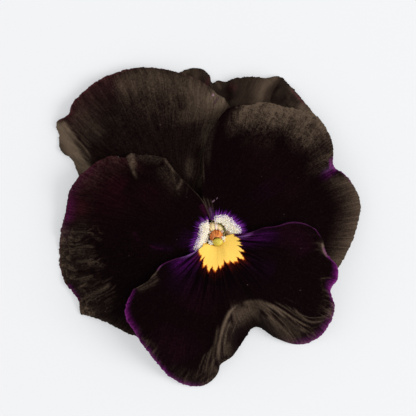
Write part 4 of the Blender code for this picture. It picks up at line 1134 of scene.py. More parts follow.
def velvet_colour(finish, x, y, hub=(0.0, 0.0), streaky=1.0):
    """The velvet's colour, with its painted sheen, shade and highlights, and the streaks and specks that
    also give its relief.
    """
    bend = finish.grain(finish.vector(x, y, 1.0), 0.16, 1.0)
    bent_x = x + (bend - 0.5) * 2.0 - hub[0]
    fan_y = y - hub[1]
    fine = fan_of_streaks(finish, bent_x, fan_y, 0.55, 0.22)
    broad = fan_of_streaks(finish, bent_x, fan_y, 1.7, 0.12, 7.0)
    waves = fan_of_streaks(finish, x + (bend - 0.5) * 8.0, fan_y + (bend - 0.5) * 8.0, 3.2, 0.3, 11.0)
    mottle = finish.grain(finish.vector(x, y, 3.0), 1.15, 4.0, 0.7)
    pile = finish.grain(finish.vector(x, y, 9.0), 3.4, 3.0, 0.8)
    dust = finish.grain(finish.vector(x, y, 21.0), 1.7, 0.0)
    specks = mottle * 0.6 + pile * 0.4 - 0.5
    uneven = (fine - 0.5) * 1.3 + (broad - 0.5) * 0.4 + (pile - 0.5) * 1.5
    crests = (1.0 - (waves * 2.0 - 1.0).size() * 4.6 + specks * 0.8).clamped()
    # the painted sheen: plain, on the crests of wrinkles, and broken up into specks
    velvet = finish.painted("velvet").most(finish.painted("crinkle") * (crests * 0.8 + 0.2))
    ragged = velvet + uneven * (velvet * (1.2 - velvet)).most(0.14) * (1.6 * streaky)
    ragged = ragged + specks * finish.painted("mottled") * (velvet + 0.12) * 3.4
    # painted shade in hollows and furrows takes the painted sheen away
    shown = (ragged * (1.0 - finish.painted("dark") * 0.8)).clamped() ** 2.0
    colour = finish.blend(((pile - 0.5) * 0.15).clamped(), BLACK, BROWN_GREY)
    # flushes of colour; the magenta on thin rims is partly painted light shining through them
    for tint in FLUSHES:
        amount = finish.painted(tint) * (1.0 + uneven * 1.3)
        colour = finish.blend(amount.clamped() ** 2.0, colour, TONES[tint])
    # the painted sheen over the flushes
    colour = finish.blend(shown, colour, BROWN_GREY)
    # painted highlights, painted glow on lit rims and lips, and pale pink specks on top
    for tint in LIGHTS:
        amount = finish.painted(tint) * (1.0 + uneven * 0.7)
        colour = finish.blend(amount.clamped() ** 1.6, colour, TONES[tint])
    colour = finish.blend((dust - 0.86).clamped() * 3.0, colour, DUST)
    return colour, fine, mottle


VELVET = {
    "Roughness": 0.9,
    "Specular_IOR_Level": 0.02,
    "Sheen_Weight": 0.08,
    "Sheen_Roughness": 0.35,
    "Sheen_Tint": (0.8, 0.6, 0.5, 1.0),
}
VEIN_SHARE, MOTTLE_SHARE = 0.7, 0.5  # what the relief of the face is made of
RELIEF_STRENGTH, RELIEF_DEPTH = 0.5, 0.12


def side_halo(finish, colour, x, y):
    """The ragged violet edge round a beard, the pale lip inside it, and the cream claw, green below."""
    spikes = fan_of_streaks(finish, x, y - 0.8, 1.8, 0.12, 3.0)
    away = finish.painted("halo")
    edge = away + (spikes - 0.5) * 3.2 - x.size().rise(2.4, 5.0) * 0.3
    colour = finish.blend((1.0 - edge.rise(-0.1, 1.2)) * 0.9, colour, tone(92, 24, 122))
    colour = finish.blend(1.0 - edge.rise(-0.5, 0.75), colour, tone(138, 64, 168))
    pale_edge = away + (spikes - 0.5) * 1.6
    colour = finish.blend(1.0 - pale_edge.rise(-0.35, 0.1), colour, tone(238, 220, 200))
    claw = finish.painted("claw")
    colour = finish.blend(claw.rise(0.02, 0.2), colour, tone(216, 204, 170))
    return finish.blend(claw.rise(0.62, 0.95), colour, tone(120, 122, 74))


def petal_face(name, with_halo=False, hub=(0.0, 0.0), streaky=1.0):
    finish = Finish(name, **VELVET)
    x, y, _ = finish.places()
    colour, fine, mottle = velvet_colour(finish, x, y, hub, streaky)
    if with_halo:
        colour = side_halo(finish, colour, x, y)
    finish.feed("Base Color", colour)
    finish.relief(fine * VEIN_SHARE + mottle * MOTTLE_SHARE, RELIEF_STRENGTH, RELIEF_DEPTH)
    return finish


print("the sheen's surface colour is", [round(value, 3) for value in BROWN_GREY])

# %% [markdown]
# ### The yellow blotch
# The blotch on the lower petal ends in uneven teeth that point away from the throat. Each tooth is given
# by the direction and reach of the gap before it and of its own tip. Directions are in degrees from
# straight down, and above 0 towards the right. Ramps over the direction turn that list into one outline,
# with narrow gaps and rounded teeth. Its lower edge runs through orange and rust into black veins.

# %% The blotch
BLOTCH_HUB = (0.45, -0.1)
BLOTCH_TEETH = [  # direction and reach of the gap before the tooth, then of its tip
    (-62.0, 4.4, -50.5, 4.95),
    (-43.7, 4.75, -38.0, 5.9),
    (-35.2, 4.3, -26.5, 6.7),
    (-22.3, 5.75, -14.5, 7.3),
    (-11.0, 5.6, -3.0, 6.95),
    (3.1, 5.4, 6.4, 6.4),
    (9.0, 5.8, 12.6, 5.8),
    (17.0, 4.3, 23.5, 5.75),
    (31.0, 5.1, 34.2, 6.3),
    (37.4, 6.0, 41.4, 6.5),
    (46.3, 5.3, 52.5, 7.2),
    (60.7, 5.0, 64.5, 6.4),
    (72.0, 4.1, 75.7, 5.6),
    (77.9, 4.8, 80.5, 5.3),
    (84.2, 3.9, 88.2, 4.95),
]
BLOTCH_END = (97.0, 3.8)
TURN_FROM, TURN_TO = -90.0, 180.0  # the directions that the ramps cover
LONGEST = 8.0  # mm, where a ramp's value is 1
YELLOW = (0.98, 0.64, 0.125)
DEEP_YELLOW = (0.92, 0.47, 0.05)
ORANGE = tone(222, 112, 26)
RUST = tone(112, 36, 14)


def share_of_turn(direction):
    return (direction - TURN_FROM) / (TURN_TO - TURN_FROM)


def blotch_edge(finish, turn):
    """How far the yellow reaches in each direction, in millimetres."""
    gaps = [(share_of_turn(gap), reach / LONGEST) for gap, reach, _, _ in BLOTCH_TEETH]
    gaps.append((share_of_turn(BLOTCH_END[0]), BLOTCH_END[1] / LONGEST))
    tips = [(share_of_turn(tip), reach / LONGEST) for _, _, tip, reach in BLOTCH_TEETH]
    teeth = [(share_of_turn(BLOTCH_TEETH[0][0]), 0.0)]
    for index, (_, _, tip, _) in enumerate(BLOTCH_TEETH):
        following = [*BLOTCH_TEETH, BLOTCH_END][index + 1][0]
        teeth += [(share_of_turn(tip), 1.0), (share_of_turn(following), 0.0)]
    low = finish.run_of_values(turn, gaps)
    high = finish.run_of_values(turn, tips)
    tooth = finish.run_of_values(turn, teeth)
    return (low + (high - low) * tooth**0.6) * LONGEST


def lower_face(name):
    finish = Finish(name, **VELVET)
    x, y, _ = finish.places()
    colour, fine, mottle = velvet_colour(finish, x, y)
    across, up, _ = finish.places(BLOTCH_HUB)
    reach = (across * across + up * up) ** 0.5
    wobble = finish.grain(finish.vector(x, y, 0.0), 2.6, 2.0)
    turn = finish.node("ShaderNodeMath", {"operation": "ARCTAN2"}, across, up * -1.0) * DEGREES
    turn = (turn + (wobble - 0.5) * 5.0 - TURN_FROM) / (TURN_TO - TURN_FROM)
    inside = blotch_edge(finish, turn) - reach
    cells = finish.grain(finish.vector(x, y, 5.0), 5.5, 3.0, 0.6)
    veins = fan_of_streaks(finish, x, y, 3.4, 0.1, 2.0)
    nearby = 1.0 - (inside * -1.0).rise(2.0, 11.0)
    colour = finish.blend(((veins - 0.46) * 9.0).clamped() * nearby, colour, tone(5, 0, 2))
    low = (up * -1.0).rise(1.6, 4.6)
    rust = low * (veins * -1.0 + 0.6).clamped() * (1.0 - (inside * -1.0).rise(0.0, 2.6)) * 4.0
    colour = finish.blend(rust.clamped() * 0.7, colour, tone(70, 18, 12))
    colour = finish.blend(inside.rise(-0.5, 0.02) * low, colour, RUST)
    colour = finish.blend(inside.rise(-0.14, 0.2) * (low * 0.8 + 0.2), colour, ORANGE)
    yellow = finish.blend(((cells - 0.42) * 2.2).clamped() * 0.5, YELLOW, DEEP_YELLOW)
    # painted shade: the yellow turns olive close to the throat, under the stigma
    throat_shade = 1.0 - reach.rise(0.9, 2.4)
    yellow = finish.blend(throat_shade * 0.15, yellow, (0.62, 0.46, 0.07))
    colour = finish.blend((inside + (cells - 0.5) * 0.3).rise(0.06, 0.45), colour, yellow)
    finish.feed("Base Color", colour)
    finish.relief(fine * VEIN_SHARE + mottle * MOTTLE_SHARE, RELIEF_STRENGTH, RELIEF_DEPTH)
    return finish


def petal_back(name):
    """The underside: duller and paler, with raised veins that fan out from the claw."""
    finish = Finish(name, Roughness=0.6, Specular_IOR_Level=0.2, Sheen_Weight=0.15, Sheen_Roughness=0.4)
    x, y, z = finish.places()
    veins = fan_of_streaks(finish, x, y, 2.6, 0.06)
    mottle = finish.grain(finish.vector(x, y, z), 0.5, 4.0)
    reach = (x * x + y * y) ** 0.5
    near = 1.0 - reach.rise(3.0, 12.0)
    colour = finish.blend((mottle - 0.2).clamped(), (0.022, 0.006, 0.020), (0.050, 0.020, 0.038))
    colour = finish.blend(((veins - 0.5) * 5.0).clamped(), colour, (0.012, 0.003, 0.012))
    colour = finish.blend(near * 0.75, colour, (0.20, 0.19, 0.07))
    finish.feed("Base Color", colour)
    finish.relief(veins, 0.6, 0.15)
    return finish


UPPER_HUB = (-6.5, 4.0)  # where the streaks of the upper petals fan out from
lower_finish = lower_face("lower_petal_velvet")
side_finish = petal_face("side_petal_velvet", with_halo=True)
upper_finish = petal_face("upper_petal_velvet", hub=UPPER_HUB)
back_petal_finish = petal_face("back_petal_velvet", hub=UPPER_HUB, streaky=0.45)
back_finish = petal_back("petal_underside")
print("five finishes for the petals")

# %% [markdown]
# ## Making the petals
# The strength of each tint is stored on a petal's points, and so are two more values. `halo` is the
# distance to the beard's outline, for the violet edge round it, and `claw` grows down the claw to its
# foot. The thickness is a weight on the points too, so that the rim comes out thinner than the middle.

# %% Make the petals
BEARDS = {  # the outline of each beard seen from above, with its inside on the left
    "left_petal": [
        (-1.7, 3.55), (-2.5, 3.25), (-3.05, 2.7), (-3.2, 1.7), (-3.4, 0.4), (-3.9, -1.0),
        (-4.1, -2.1), (-3.7, -2.5), (-2.9, -1.9), (-2.0, -1.2), (-1.5, -0.6), (-1.6, 0.5),
        (-1.4, 1.6), (-1.5, 3.0), (-1.7, 3.55),
    ],
    "right_petal": [
        (-0.2, 3.9), (0.3, 3.5), (1.2, 3.3), (2.1, 2.6), (2.7, 1.8), (3.4, 1.2), (4.0, 0.95),
        (5.15, 1.05), (5.4, 1.5), (5.0, 2.3), (4.4, 2.9), (3.6, 3.7), (2.9, 4.4), (2.25, 4.75),
        (1.4, 4.7), (0.25, 4.55), (-0.2, 3.9),
    ],
}


def halo_of(petal, surface):
    """Distance in mm outwards from the beard's outline, and below 0 inside it and on the claw."""
    if petal.name not in BEARDS:
        return np.full(surface.shape[:2], FAR_AWAY)
    inwards, _ = distance_to_path(surface[..., :2], BEARDS[petal.name])
    inwards[:CLAW_STEPS] = 1.0
    return -inwards


THIN_RIM, THINNING = 0.35, 5.0  # the share of thickness left at the rim, and the mm it takes


def make_petal(petal, face):
    surface, to_rim = petal_surface(petal)
    blade, rows, columns = grid_of(petal.name, surface)
    for tint, strength in paint_on(petal, surface, to_rim).items():
        store(blade, tint, strength[rows, columns])
    store(blade, "halo", halo_of(petal, surface)[rows, columns])
    store(blade, "claw", np.clip(1 - rows / CLAW_STEPS, 0, 1))
    flesh = blade.vertex_groups.new(name="flesh")
    weights = THIN_RIM + (1 - THIN_RIM) * step_up(to_rim[rows, columns], 0.0, THINNING)
    for index, weight in enumerate(weights):
        flesh.add([index], weight, "REPLACE")
    wear(blade, face, back_finish)
    apply(
        blade,
        "SOLIDIFY",
        thickness=FLESH * MM,
        offset=0.0,
        vertex_group="flesh",
        thickness_vertex_group=0.0,
        material_offset=1,
        material_offset_rim=0,
    )
    settle(blade, "petal_black", petal.node)
    return surface


surfaces = {}
FACES = (lower_finish, side_finish, side_finish, upper_finish, back_petal_finish)
for petal, face in zip(PETALS, FACES):
    surfaces[petal.name] = make_petal(petal, face)

# %% [markdown]
# ## The spur
# Behind the throat the lower petal ends in a hollow sac that holds the nectar. It is a profile turned
# round its axis, blunt at its end, which is pressed flat where the bloom rests on it.

# %% The spur
SPUR_CENTRE = (0.3, -2.4)
SPUR_TURN_STEPS = 40
SPUR_PROFILE = [  # distance from the axis and height: down the outside, then up the inside
    (2.1, 5.2), (1.72, 4.6), (1.52, 4.0), (1.5, 2.8), (1.5, 1.7), (1.42, 1.1), (1.25, 0.55),
    (0.95, 0.12), (0.8, 0.0), (0.0, 0.0), (0.0, 0.5), (0.6, 0.55), (1.0, 1.2), (1.08, 2.6),
    (1.12, 4.1), (1.7, 5.2),
]


def make_spur():
    profile = [Vector((x, 0.0, z)) for x, z in SPUR_PROFILE]
    mesh = bpy.data.meshes.new("spur")
    on_axis = SPUR_PROFILE.index((0.0, 0.0))  # no edge runs along the axis
    edges = [(i, (i + 1) % len(profile)) for i in range(len(profile)) if i != on_axis]
    mesh.from_pydata([point * MM for point in profile], edges, [])
    spur = bpy.data.objects.new("spur", mesh)
    bpy.context.scene.collection.objects.link(spur)
    apply(
        spur,
        "SCREW",
        steps=SPUR_TURN_STEPS,
        render_steps=SPUR_TURN_STEPS,
        use_merge_vertices=True,
        merge_threshold=0.05 * MM,
    )
    apply(spur, "SUBSURF", levels=1, render_levels=1)
    points = np.array([vertex.co for vertex in spur.data.vertices])
    points[:, 2] = np.maximum(points[:, 2], 0)
    set_points(spur, points + placed((*SPUR_CENTRE, 0)))
    wear(spur, back_finish)
    return settle(spur, "petal_black", "petal_lower")


make_spur()

# %% [markdown]
# ## Copies by the hundred
# Beards and tufts are one small shape repeated. The shape is modelled once with operators, and its
# points are then set down again and again, turned to a direction and stretched to a length, in one
# mesh. Each copy keeps a random tone, so that no two hairs are quite the same colour.


# %% One shape, many copies
HAIR_SIDES = 4
CLUB = 0.72  # the share of a hair below its rounded tip
ODD_DIRECTION = (0.31, 0.87, 0.38)  # that no hair and no margin follows


def template_hair():
    """A club-shaped hair, 1 long and 1 wide, standing on the origin."""
    deselect()
    bpy.ops.mesh.primitive_cone_add(
        vertices=HAIR_SIDES, radius1=0.32, radius2=0.5, depth=CLUB, location=(0, 0, CLUB / 2)
    )
    hair = bpy.context.object
    bpy.ops.object.mode_set(mode="EDIT")
    bpy.ops.mesh.select_mode(type="FACE")
    bpy.ops.mesh.select_all(action="DESELECT")
    bpy.ops.object.mode_set(mode="OBJECT")
    for face in hair.data.polygons:
        face.select = face.normal.z > 0.9
    bpy.ops.object.mode_set(mode="EDIT")
    bpy.ops.mesh.extrude_region_move(TRANSFORM_OT_translate={"value": (0, 0, 0.2)})
    bpy.ops.transform.resize(value=(0.85, 0.85, 1))
    bpy.ops.mesh.extrude_region_move(TRANSFORM_OT_translate={"value": (0, 0, 0.08)})
    bpy.ops.transform.resize(value=(0.4, 0.4, 1))
    bpy.ops.object.mode_set(mode="OBJECT")
    place = np.array(hair.matrix_world)
    points = np.array([vertex.co for vertex in hair.data.vertices]) @ place[:3, :3].T + place[:3, 3]
    faces = [tuple(face.vertices) for face in hair.data.polygons]
    bpy.data.objects.remove(hair)
    return points, faces


def crosswise(directions, other):
    """Two unit vectors for each direction, at right angles to it and to each other."""
    aside = np.cross(directions, other)
    aside /= np.linalg.norm(aside, axis=1, keepdims=True)
    return aside, np.cross(directions, aside)


def copies(name, template, roots, directions, lengths, widths, tones, bends=None, dyed=None):
    """One mesh of a template's copies. All the lengths are in millimetres, round the throat."""
    points, faces = template
    directions = directions / np.linalg.norm(directions, axis=1, keepdims=True)
    aside, beside = crosswise(directions, ODD_DIRECTION)
    x = points[None, :, 0, None] * widths[:, None, None] * aside[:, None]
    y = points[None, :, 1, None] * widths[:, None, None] * beside[:, None]
    z = points[None, :, 2, None] * lengths[:, None, None] * directions[:, None]
    all_points = roots[:, None] + x + y + z
    if bends is not None:
        all_points = all_points + (points[None, :, 2, None] ** 2) * bends[:, None]
    count = len(points)
    all_faces = [tuple(i + count * k for i in face) for k in range(len(roots)) for face in faces]
    mesh = bpy.data.meshes.new(name)
    mesh.from_pydata(placed(all_points.reshape(-1, 3)).tolist(), [], all_faces)
    thing = bpy.data.objects.new(name, mesh)
    bpy.context.scene.collection.objects.link(thing)
    store(thing, "tone", np.repeat(tones, count))
    store(thing, "along", np.tile(points[:, 2], len(roots)))
    store(thing, "dyed", np.repeat(np.zeros(len(roots)) if dyed is None else dyed, count))
    return thing


def on_surface(surface, row, column):
    """The point of a surface between its grid points, and the surface's normal there."""
    row = np.clip(row, 0, surface.shape[0] - 2.001)
    column = np.clip(column, 0, surface.shape[1] - 2.001)
    r, c = row.astype(int), column.astype(int)
    dr, dc = (row - r)[:, None], (column - c)[:, None]
    low = surface[r, c] * (1 - dc) + surface[r, c + 1] * dc
    high = surface[r + 1, c] * (1 - dc) + surface[r + 1, c + 1] * dc
    normal = np.cross(surface[r + 1, c] - surface[r, c], surface[r, c + 1] - surface[r, c])
    normal /= np.linalg.norm(normal, axis=1, keepdims=True)
    return low * (1 - dr) + high * dr, normal


HAIR = template_hair()
print("a hair has", len(HAIR[1]), "faces")

# %% [markdown]
# ## The beards
# Two brushes of blunt white hairs stand on the side petals' lips and lean over the throat. Many more
# hairs are tried than are needed. A hair is kept when its root and its tip lie inside the beard's
# outline, or a little outside, which gives the brush its shape and a loose edge. Hairs at the outer edge
# are tinted violet, and those over the throat stay white.


# %% Make the beards
HAIR_VIOLET = (0.48, 0.25, 0.74)


def hair_finish(name, root, tip, warm):
    look = {"Roughness": 0.6, "Specular_IOR_Level": 0.2, "Sheen_Weight": 0.2, "Subsurface_Weight": 0.3}
    finish = Finish(name, **look)
    finish.shader.inputs["Subsurface Radius"].default_value = (0.0006, 0.0005, 0.0004)
    tone_there = finish.painted("tone")
    along = finish.painted("along")
    colour = finish.blend(along.rise(0.0, 0.6), root, tip)
    colour = finish.blend((tone_there * 0.8).clamped(), colour, warm)
    colour = finish.blend(finish.painted("dyed").clamped(), colour, HAIR_VIOLET)
    finish.feed("Base Color", colour)
    return finish


beard_finish = hair_finish(
    "beard_hair", root=(0.97, 0.88, 0.77), tip=(0.98, 0.93, 0.82), warm=(0.96, 0.82, 0.57)
)
HAIRS_IN_BEARD = 1500
TRIES_PER_HAIR = 9
ROOT_STEPS = (-0.6, 16)  # the steps outwards from the lip where hairs may stand
OVER_THROAT = np.array([0.6, 0.8, 9.5])  # the point that the hairs lean to
WHITE_REACH = 2.6  # mm from that point within which all hairs stay white


def make_beard(name, petal, seed):
    surface = surfaces[petal.name]
    outline = BEARDS[petal.name]
    draw = np.random.default_rng(seed)
    tries = TRIES_PER_HAIR * HAIRS_IN_BEARD
    row = CLAW_STEPS + draw.uniform(*ROOT_STEPS, tries)
    roots, normal = on_surface(surface, row, draw.uniform(0, 1, tries) * ACROSS)
    roots = roots + normal * FLESH * 0.3
    to_throat = OVER_THROAT - roots
    to_throat /= np.linalg.norm(to_throat, axis=1, keepdims=True)
    lean = normal + to_throat * 0.3 + draw.normal(0, 0.25, (tries, 3))
    lean /= np.linalg.norm(lean, axis=1, keepdims=True)
    lean[:, 2] = np.maximum(lean[:, 2], 0.3)
    lengths = draw.uniform(0.75, 1.25, tries)
    bends = to_throat * 0.15
    tips = roots + lean * lengths[:, None] + bends
    root_inside, _ = distance_to_path(roots[:, :2], outline)
    tip_inside, _ = distance_to_path(tips[:, :2], outline)
    loose = draw.uniform(0, 1, tries) ** 3 * 0.45
    kept = np.flatnonzero((root_inside > -loose) & (tip_inside > -loose))[:HAIRS_IN_BEARD]
    dyed = np.clip(0.3 - root_inside / 0.3, 0, 1) * draw.uniform(0.0, 0.9, tries)
    in_throat = np.linalg.norm(roots[:, :2] - OVER_THROAT[:2], axis=1) < WHITE_REACH
    dyed = np.where(in_throat, 0, dyed)
    beard = copies(
        name,
        HAIR,
        roots[kept],
        lean[kept],
        lengths[kept],
        draw.uniform(0.15, 0.25, len(kept)),
        draw.uniform(0, 1, len(kept)) ** 2.5,
        bends[kept],
        dyed[kept],
    )
    wear(beard, beard_finish)
    print(len(kept), "hairs in", name)
    return settle(beard, "beard_white", petal.node.replace("petal", "beard"))


make_beard("left_beard", LEFT, 21)
make_beard("right_beard", RIGHT, 22)

# %% [markdown]
# ## Stamens and pistil
# Five stamens stand in a ring round the style. Each anther is a cream pouch with a groove down its
# face, and pinkish ridges show between the pouches. Above each ridge stands a thin, pleated, orange-brown
# scale. The style comes out between the scales and ends in a round green-yellow stigma. All stand on one
# leaning axis, as on the model, so a piece is shaped upright and then carried over to that axis.

# %% The column's own frame
COLUMN_FOOT = (0.0, 3.0)
COLUMN_LEAN, COLUMN_SLANT = 35, 3  # degrees
STAMENS = 5
FIRST_STAMEN = 54  # two stamens share the side that faces up
RAISED = np.array([0.05, 0.1, 0.6])  # the stamens fill the throat up to the beards


def column_frame():
    lean = Matrix.Rotation(math.radians(COLUMN_LEAN), 4, "X")
    slant = Matrix.Rotation(math.radians(COLUMN_SLANT), 4, "Y")
    return np.array(Matrix.Translation((*COLUMN_FOOT, FOOT_HEIGHT + 0.2)) @ lean @ slant)


COLUMN = column_frame()


def on_column(points, along, outward=0.0, angle=0.0):
    """Points of a piece's own frame, moved beside the column's axis and faced outwards at an angle."""
    turned = Matrix.Rotation(math.radians(angle), 4, "Z")
    whole = COLUMN @ np.array(turned @ Matrix.Translation((outward, 0, along)))
    return points @ whole[:3, :3].T + whole[:3, 3]


def ball(name, segments, rings):
    deselect()
    bpy.ops.mesh.primitive_uv_sphere_add(segments=segments, ring_count=rings, radius=1)
    thing = bpy.context.object
    thing.name = name
    return thing, np.array([vertex.co for vertex in thing.data.vertices])


def fuse(name, things):
    """One object of several."""
    pick(things[0])
    for thing in things:
        thing.select_set(True)
    bpy.ops.object.join()
    whole = bpy.context.object
    whole.name = name
    return whole


def tube_round(name, line, radii, other):
    """An open tube round a line. The radii are given by steps along it and steps round it."""
    ahead = np.gradient(line, axis=0)
    ahead /= np.linalg.norm(ahead, axis=1, keepdims=True)
    aside, beside = crosswise(ahead, other)
    turn = np.linspace(0, 2 * math.pi, radii.shape[1])
    ring = np.cos(turn)[None, :, None] * aside[:, None] + np.sin(turn)[None, :, None] * beside[:, None]
    return grid_of(name, line[:, None] + ring * radii[..., None])


def close_tube(tube, nearness):
    """Joins the seam along a tube and fills its two ends."""
    pick(tube)
    bpy.ops.object.mode_set(mode="EDIT")
    bpy.ops.mesh.select_all(action="SELECT")
    bpy.ops.mesh.remove_doubles(threshold=nearness)
    bpy.ops.mesh.select_mode(type="EDGE")
    bpy.ops.mesh.select_all(action="DESELECT")
    bpy.ops.mesh.select_non_manifold()
    bpy.ops.mesh.fill_holes(sides=0)
    bpy.ops.mesh.select_all(action="SELECT")
    bpy.ops.mesh.normals_make_consistent(inside=False)
    bpy.ops.object.mode_set(mode="OBJECT")


print("the column's foot is at", [round(float(value), 1) for value in COLUMN[:3, 3]])


# %% Make the anthers
def anther_finish():
    finish = Finish("anther", Roughness=0.6, Specular_IOR_Level=0.25, Subsurface_Weight=0.25)
    finish.shader.inputs["Subsurface Radius"].default_value = (0.0006, 0.0004, 0.0003)
    x, y, z = finish.places()
    grains = finish.grain(finish.vector(x, y, z), 2.8, 4.0, 0.6)
    colour = finish.blend((grains * 2.0 - 0.5).clamped(), (0.90, 0.66, 0.30), (0.97, 0.84, 0.52))
    colour = finish.blend((grains - 0.60).clamped() * 3.0, colour, (0.52, 0.46, 0.10))
    colour = finish.blend(finish.painted("ridge").clamped(), colour, (0.93, 0.76, 0.66))
    colour = finish.blend(finish.painted("foot").clamped(), colour, (0.16, 0.20, 0.035))
    finish.feed("Base Color", colour)
    finish.relief(grains, 0.7, 0.12)
    return finish


POUCH = np.array([0.84, 0.92, 1.4])  # half its size outwards, across and along the column
RIDGE = np.array([0.44, 0.42, 1.4])
ANTHER_ALONG = 2.6  # mm up the column's axis
POUCH_OUTWARD, RIDGES_OUTWARD = 1.34, (1.2, 1.6)
# a deep green line at the right of the pouches, partly painted shade
GREEN_SHADOW_LINE = [(0.5, 3.1, 9.3), (1.3, 2.75, 9.4), (1.8, 2.1, 9.3), (1.95, 1.3, 9.1), (1.75, 0.8, 8.8)]
SHADOW_LINE_RADII = [0.1, 0.16, 0.16, 0.14, 0.08]
SHADOW_LINE_STEPS, SHADOW_LINE_SIDES = 24, 12


def green_shadow_line():
    """A deep green tube at the right of the pouches: partly the greenish edge there, partly painted shade
    in the gap between the pouches and the claw.
    """
    shares = np.linspace(0, 1, SHADOW_LINE_STEPS)
    radii = np.interp(shares, np.linspace(0, 1, len(SHADOW_LINE_RADII)), SHADOW_LINE_RADII)
    radii = radii[:, None] * np.ones((1, SHADOW_LINE_SIDES + 1))
    line = smooth_run(GREEN_SHADOW_LINE, SHADOW_LINE_STEPS)
    shaded_line, _, _ = tube_round("shaded_line", line, radii, ODD_DIRECTION)
    close_tube(shaded_line, 0.001 * MM)
    store(shaded_line, "ridge", np.zeros(len(shaded_line.data.vertices)))
    store(shaded_line, "foot", np.full(len(shaded_line.data.vertices), 0.95))
    return shaded_line


def make_stamens():
    lobes = []
    for stamen in range(STAMENS):
        turn = FIRST_STAMEN + 360 * stamen / STAMENS
        lobe, points = ball("lobe", 36, 24)
        groove = 1 - 0.12 * np.exp(-((points[:, 1] / 0.14) ** 2)) * (points[:, 0] > 0)
        shaped = points * groove[:, None] * POUCH
        shaped[:, 2] += 0.12 * points[:, 0]
        set_points(lobe, placed(on_column(shaped, ANTHER_ALONG, POUCH_OUTWARD, turn) + RAISED))
        store(lobe, "ridge", np.zeros(len(points)))
        store(lobe, "foot", np.clip((-points[:, 2] - 0.7) / 0.3, 0, 1))
        lobes.append(lobe)
        for outward in RIDGES_OUTWARD:
            ridge, points = ball("ridge", 12, 12)
            spot = on_column(points * RIDGE, ANTHER_ALONG, outward, turn + 180 / STAMENS)
            set_points(ridge, placed(spot + RAISED))
            store(ridge, "ridge", np.ones(len(points)))
            store(ridge, "foot", np.clip((-points[:, 2] - 0.6) / 0.35, 0, 1))
            lobes.append(ridge)
    lobes.append(green_shadow_line())
    stamens = fuse("anthers", lobes)
    wear(stamens, anther_finish())
    return settle(stamens, "anther_cream", "stamens")


make_stamens()

# %% [markdown]
# ### The orange scales
# Each anther of a real pansy ends in a thin flap of another colour. Here it is a bent grid. Its outline
# comes from the half width at each height, and a cosine across it gives the pleats. Creases and edges
# are stored on its points, because the paint has to follow the pleats.

# %% Make the anthers' tips
def tip_finish():
    finish = Finish("anther_tip", Roughness=0.55, Specular_IOR_Level=0.3)
    x, y, z = finish.places()
    grains = finish.grain(finish.vector(x, y, z), 2.2, 3.0, 0.6)
    fine = finish.grain(finish.vector(x * 3.0, y, z), 3.0, 3.0, 0.6)
    colour = finish.blend((grains * 3.4 - 1.2).clamped(), (0.40, 0.055, 0.015), (0.86, 0.30, 0.05))
    # painted shade in the creases between the pleats, and paler top and side edges
    colour = finish.blend(finish.painted("crease").clamped() * 0.8, colour, (0.20, 0.03, 0.01))
    colour = finish.blend(finish.painted("edge").clamped() * 0.6, colour, (0.86, 0.42, 0.13))
    finish.feed("Base Color", colour)
    finish.relief(fine, 0.7, 0.1)
    return finish


FIRST_SCALE = FIRST_STAMEN + 180 / STAMENS  # the scales stand over the ridges
SCALE_STEPS_UP, SCALE_STEPS_ACROSS = 16, 24
SCALE_HEIGHT, SCALE_HALF_WIDTH, SCALE_THICKNESS = 1.96, 0.9, 0.16
SCALE_ALONG, SCALE_OUTWARD = 4.2, 1.16
PLEATS = 11  # how fast the pleats follow each other


def make_scale(stamen):
    """One scale: round at its top, bulging outwards, curled back at its sides, and pleated."""
    up = np.linspace(0, 1, SCALE_STEPS_UP + 1)[:, None]
    side = np.linspace(-1, 1, SCALE_STEPS_ACROSS + 1)[None]
    pleats = np.cos(PLEATS * side + stamen)
    half = SCALE_HALF_WIDTH * (1 - up**4) ** 0.5 + 0.06
    bulge = 0.22 * np.sin(math.pi * up) - 0.34 * up
    x = bulge - 0.34 * side**2 * half + 0.09 * pleats * np.sin(math.pi * up**0.7)
    points = np.stack([x, side * half, up * SCALE_HEIGHT + 0 * side], axis=-1)
    scale, rows, columns = grid_of("scale", points)
    turn = FIRST_SCALE + 360 * stamen / STAMENS
    spot = on_column(points[rows, columns], SCALE_ALONG, SCALE_OUTWARD, turn)
    set_points(scale, placed(spot + RAISED * 0.8))
    store(scale, "crease", np.clip(-pleats[0, columns] - 0.55, 0, 1) * 2)
    store(scale, "edge", np.clip(up[rows, 0] * 0.6 + np.abs(side[0, columns]) - 0.7, 0, 1))
    apply(scale, "SOLIDIFY", thickness=SCALE_THICKNESS * MM, offset=0.0)
    return scale


def make_tips():
    scales = [make_scale(stamen) for stamen in range(STAMENS)]
    tips = fuse("anther_scales", scales)
    wear(tips, tip_finish())
    return settle(tips, "anther_orange", "anther_tips")


make_tips()

# %% [markdown]
# ### The pistil
# The stigma is a ball with a small dent in its lower side, where a real one takes the pollen in. It sits
# on a thin, slightly bowed style and a ribbed ovary. All three are spheres shaped by moving their points.

# %% Make the pistil
def pistil_finish():
    look = {"Roughness": 0.4, "Specular_IOR_Level": 0.35, "Subsurface_Weight": 0.25, "Coat_Weight": 0.1}
    finish = Finish("stigma", **look)
    finish.shader.inputs["Subsurface Radius"].default_value = (0.0006, 0.0006, 0.0002)
    x, y, z = finish.places()
    grains = finish.grain(finish.vector(x, y, z), 2.4, 3.0, 0.55)
    colour = finish.blend((grains * 2.0 - 0.5).clamped(), (0.50, 0.39, 0.03), (0.71, 0.555, 0.075))
    # olive: painted shade in the stigma's dent and on its lower side, and the colour of the style's foot
    # and the ovary
    colour = finish.blend(finish.painted("shade").clamped(), colour, (0.36, 0.37, 0.04))
    finish.feed("Base Color", colour)
    finish.relief(grains, 0.4, 0.06)
    return finish


STIGMA_ALONG, STYLE_ALONG, OVARY_ALONG = 6.6, 4.4, 1.5  # mm up the column's axis


